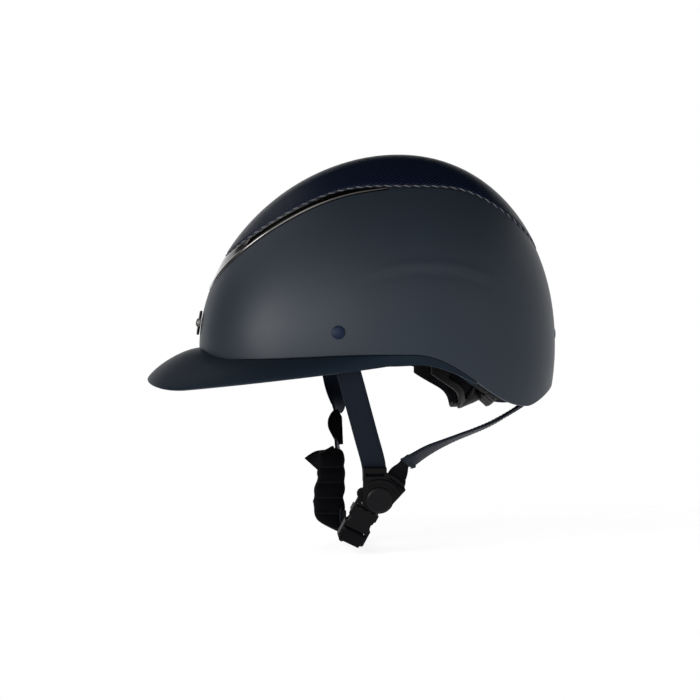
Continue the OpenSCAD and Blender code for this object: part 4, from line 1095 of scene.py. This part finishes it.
pad_x = -64
pad_y = -24
slider_from = Vector((pad_x - 21, pad_y - 1.7, -44))
slider_to = Vector((pad_x - 13.5, pad_y - 1.3, -67.5))
slider_wide = (-0.985, 0.17, 0)
edge_on = (-0.975, 0.22, 0)
plate_at = Vector((pad_x + 2.5, pad_y + 1.2, -130))
stations = strap_head(-1, temple, lean) + [
    (slider_from + Vector((-8.5, -0.2, 22)), (-0.3, 0.95, 0)),
    (slider_from + Vector((-2.6, 1.6, 8)), (-0.72, 0.69, 0)),
    (slider_from + Vector((-0.5, 1.2, 1.5)), (-0.9, 0.43, 0)),
    (slider_from - Vector((0, 0, 3)), slider_wide),
    (slider_to, slider_wide),
    ((pad_x - 7.5, pad_y + 0.2, -84), edge_on),
    ((pad_x - 1.6, pad_y, -101), edge_on),
    ((plate_at.x, pad_y, plate_at.z + 11.5), (-1, 0, 0)),
    ((plate_at.x, pad_y, plate_at.z + 6), (-1, 0, 0)),
    ((plate_at.x, pad_y, plate_at.z - 1.4), (-1, 0, 0))]
front_right, lines = band("front_strap_right", stations)
# inside the chin pad the strap is gathered to a little over half its width and its stitching out of sight
for vert in front_right.data.vertices:
    z = 1000 * vert.co.z
    gathered = 0.45 * ease((-74 - z) / 5) * ease((z + 121) / 5)
    middle = -0.0773 + 0.0158 * min(1, max(0, (-67.5 - z) / 45)) ** 0.85
    vert.co.x -= gathered * (vert.co.x - middle)
    vert.co.y -= gathered * (vert.co.y + 0.0238)
seams += [[p for p in way if p.z > -73] for way in lines] + [[p for p in way if p.z < -121] for way in lines]
finish(front_right, strap_skin, "front_strap_right")

rear_heading = 175.2
side = 2 * layer - behind
tab_wide = (-0.78, 0, -0.62)
stations = strap_head(1, rear_heading, 0) + [
    ((11, 128.4, -17), (-1, 0, -0.05)),
    ((12.5, 123, -27), (-1, 0, -0.1)),
    ((21, 109.4, -36.7), (-0.99, 0, -0.13)),
    ((38, 85.8, -49.5), (-0.99, 0, -0.16)),
    ((58, 55.3, -60.2), (-0.97, 0, -0.25)),
    ((68.5, 36.4, -67.8), (-0.9, 0, -0.43)),
    (left_point(side, 26, 31.8), tab_wide),
    (left_point(side, 20, 27.6), tab_wide)]
rear_left, lines = band("rear_strap_left", stations)
seams += lines
finish(rear_left, strap_skin, "rear_strap_left")

foot = plate_at + Vector((0, 3.2 + 0.6 + 0.9, -1.2))
stations = strap_head(-1, rear_heading, 0)
stations += [((-11, 128.4, -17), (1, 0, -0.05)), ((-12.5, 124.5, -27), (1, 0, -0.05))]
stations += [(place, (1, 0, 0)) for place in (
    (-20, 114.9, -37.6), (-34, 94.6, -50.8), (-48, 70, -62.2), (-56.5, 44, -75), (-60, 18, -96),
    (-61.2, -1, -115.5), foot + Vector((0, 5.2, 7)), foot + Vector((0, 0.3, 2.6)), foot)]
rear_right, lines = band("rear_strap_right", stations)
seams += lines
finish(rear_right, strap_skin, "rear_strap_right")

# Strap stitching: dark thread in short even stitches down both edges of each navy strap, on both faces. The
# thread lies in the shallow groove that it draws into the strap.
dark_thread = paint("dark_thread", (0.009, 0.012, 0.02), 0.7, shine=0.08)
grain(dark_thread, 6000, 1, 0.03, 0.5)
group, given, made, sets = nodes_tree("stitches", {"Stitch length": 0.0026, "Thread radius": 0.00024})
follow = put(group, "GeometryNodeMeshToCurve", [("Mesh", given)])
length, radius = given.outputs["Stitch length"], given.outputs["Thread radius"]
pitch = figure(group, "MULTIPLY", length, 1.3)
even = put(group, "GeometryNodeCurveToPoints", [("Curve", follow), ("Length", pitch)], mode="LENGTH")
turn = put(group, "FunctionNodeAlignRotationToVector", [("Vector", even.outputs["Tangent"])], axis="X")
bead = put(group, "GeometryNodeMeshUVSphere", [("Segments", 6), ("Rings", 4), ("Radius", 1.0)])
half_length = figure(group, "MULTIPLY", length, 0.5)
size = put(group, "ShaderNodeCombineXYZ", [(0, half_length), (1, radius), (2, radius)])
each = put(group, "GeometryNodeInstanceOnPoints",
           [("Points", even), ("Instance", bead), ("Rotation", turn), ("Scale", size)])
ended(group, made, each, dark_thread)
stitches = grown(line("seam_lines", seams), group, sets, "strap_stitches")
finish(stitches, dark_thread)

# Rear tab: a short piece of black webbing that joins the left rear strap to the divider. It goes through the
# divider's slot and lies on the strap's end, where it is sewn.


def webbing(name, colour):
    """Woven tape with a herringbone rib, read from its width and length in millimetres."""
    mat = paint(name, colour, 0.8, shine=0.04)
    x, y, _ = axes(mat, "UV")
    slope = figure(mat, "ADD", figure(mat, "PINGPONG", x, 3), y)
    rib = figure(mat, "SINE", figure(mat, "MULTIPLY", slope, 2 * math.pi / 0.9))
    warp = figure(mat, "SINE", figure(mat, "MULTIPLY", x, 2 * math.pi / 0.75))
    height = figure(mat, "MULTIPLY_ADD", figure(mat, "ADD", rib, warp), 0.25, 0.5)
    relief(mat, height, 0.18, 0.8)
    # painted shade and highlight: the tape is coloured darker in the hollows of its rib and lighter on the
    # raised threads
    two_colours(mat, height, [0.6 * c for c in colour], [1.4 * c for c in colour])
    return mat


black_web = webbing("black_webbing", (0.0045, 0.0045, 0.006))
slot_way = left_way(0, 0.788, -0.616)
tab, _ = strip("rear_tab_left_web", [
    (left_point(2.3, 12.3, 11.7), slot_way),
    (left_point(0, 12.7, 12.2), slot_way),
    (left_point(-2.2, 13, 13), slot_way),
    (left_point(-behind, 13.4, 17.2), left_way(-0.1, 0.76, -0.63)),
    (left_point(-behind, 18.6, 26.6), tab_wide),
    (left_point(-behind, 24, 30.3), tab_wide)], 15, 1.8)
finish(tab, black_web, "rear_tab_left")

# Left divider: a flat satin-black acetal plate with slots for the straps, riveted to the buckle's tongue
# under a round cap.
moulded("left_divider", "left_divider_plate", 0.5, black_acetal, segments=3)
satin_cap = paint("satin_black_cap", (0.005, 0.005, 0.006), 0.4, shine=0.09)
uneven(satin_cap, 0.32, 0.42, 90, 3)
moulded("divider_cap", "divider_cap_disc", 0.2, satin_cap)

# Buckle: a side-release pair in black acetal. The tongue half stays with the divider and its two springy
# prongs catch in the windows of the socket, which carries the chin strap.
moulded("buckle_male", "buckle_tongue", 0.35, black_acetal)
moulded("prong_front", "buckle_prong_front", 0.25, black_acetal, "prong_f")
moulded("prong_rear", "buckle_prong_rear", 0.25, black_acetal, "prong_r")
tilt = math.radians(-26.5)
male_x = -2 - 0.3 - 1.6


def buckle_point(x, y, z):
    """A point in the buckle's own frame, which is tilted on the divider."""
    c, s = math.cos(tilt), math.sin(tilt)
    return left_point(male_x + x, (-4.4 + y) * c - z * s, (-4.4 + y) * s + z * c)


socket = copied("buckle_female", "buckle_socket", flats=True)
# a finger notch on each side, where the prong's shoulder shows
notch_sides = 32
for side in (-1, 1):
    rims = [buckle_point(x, side * 11.2 + 2.7 * math.cos(a), -21.6 + 4.3 * math.sin(a))
            for x in (-8, 8) for a in round_angles(notch_sides)]
    walls = [(k, (k + 1) % notch_sides, notch_sides + (k + 1) % notch_sides, notch_sides + k)
             for k in range(notch_sides)]
    ends = [tuple(range(notch_sides)), tuple(range(notch_sides, 2 * notch_sides))]
    notch = solid("finger_notch", rims, walls + ends)
    change(socket, "notch", "BOOLEAN", object=notch, solver="EXACT")
    bpy.context.view_layer.objects.active = socket
    bpy.ops.object.modifier_apply(modifier="notch")
    bpy.data.objects.remove(notch, do_unlink=True)
rounded(socket, 0.7, 3)
finish(socket, black_acetal, "buckle_female", body="socket")

# Chin strap: black webbing 17 mm wide, from the back of the socket under the chin to the fitting on the right.
# It is woven flat, and each end is turned round a bar and sewn.
back = -4.2 - 0.6 - 0.9
across = buckle_point(0, 1, 0) - buckle_point(0, 0, 0)
low = -12.3 - 27.2
chin, _ = strip("chin_strap_web", [
    (buckle_point(back, 0, low + 9), across),
    (buckle_point(back, 0, low + 4), across),
    (buckle_point(back - 3, 0.5, low + 0.6), across),
    ((38, -22, -137.4), (0, 1, 0.1)),
    ((0, -21, -137.6), (0, 1, 0)),
    ((-36, -18, -139.4), (0, 1, 0)),
    (plate_at + Vector((5, 9, -11.5)), (0, 1, 0)),
    (plate_at + Vector((-7, 9, -10.8)), (0, 1, 0))], 17, 1.8, 12)
finish(chin, black_web, "chin_strap")

# Chin strap loop: the same webbing turned round the socket's lower bar, out of its slot and back underneath.
# It goes with the socket and so is a piece of its own.
loop_way = [(2.6, 8.6), (4.75, 7.7), (4.95, 4.4), (5, 1.2), (4.7, -0.5), (3.6, -0.95), (0, -1), (-3.6, -0.95),
            (-4.7, -0.5), (-5, 1), (-4.95, 2.2)]
loop_stations = [(buckle_point(x, 0, low + z), across) for x, z in loop_way]
loop, _ = strip("chin_strap_loop_web", loop_stations, 16, 1.2, 6)
finish(loop, black_web, body="socket")

# Chin pad: a soft black sleeve of knitted cloth over foam, sewn across into channels. It is slipped over the
# right strap below its slider.
sleeve = knitted("black_sleeve", (0.0026, 0.0026, 0.0036), 1700)
channel = figure(sleeve, "PINGPONG", figure(sleeve, "ADD", axes(sleeve)[2], 0.0745), 0.0061)
seam = figure(sleeve, "LESS_THAN", channel, 0.00035)
two_colours(sleeve, seam, (0.0028, 0.0028, 0.0038), (0.0105, 0.0105, 0.013))
chin_pad = stuffed("chin_pad", "chin_pad_sleeve", 1.8, cap=0.6)
# widened round the strap, most at its upper end
for vert in chin_pad.data.vertices:
    down = min(1, max(0, (-0.0765 - vert.co.z) / 0.0585))
    vert.co.y = -0.0202 + (vert.co.y + 0.0283) * (1.49 + 0.7 * max(0, 1 - down / 0.35))
    vert.co.z += 0.0022 * (1 - down) + 0.0026 * max(0, 1 - down / 0.12) * ease((vert.co.y + 0.036) / 0.012)
    middle = -0.0715 + 0.01 * min(1, max(0, (-0.084 - vert.co.z) / 0.036))
    vert.co.x += 0.14 * (vert.co.x - middle)
finish(chin_pad, sleeve, "chin_pad")

# Slider and strap tail: a smooth black frame that the right strap runs through, and the strap's free end
# coming out over the top of the chin pad.
slider = rounded(copied("chin_slider", "chin_slider_frame", flats=True), 0.4, 2, 30)
for vert in slider.data.vertices:
    vert.co.y += 0.09 * (vert.co.y + 0.0332)
matt_black = paint("matt_black_acetal", (0.0036, 0.0036, 0.0044), 0.7, shine=0)
grain(matt_black, 1900, 2, 0.025, 0.4)
finish(slider, matt_black, "chin_slider")
x = pad_x - 9.5
tail, _ = strip("strap_tail_web", [
    ((x, pad_y - 4.4, -71.5), (1, 0, 0)),
    ((x, pad_y - 11, -75), (1, 0, 0)),
    ((x - 1.5, pad_y - 17.6, -79.4), (0.88, 0.2, -0.42)),
    ((x - 3, pad_y - 22, -85.2), (0.42, 0.46, -0.78))], 16, 2)
finish(tail, black_web, "strap_tail")

# Right divider: a small moulded fitting with an upright loop for the two right straps and a turned loop under
# it for the chin strap.
moulded("right_divider", "right_divider_loops", 0.45, black_acetal)
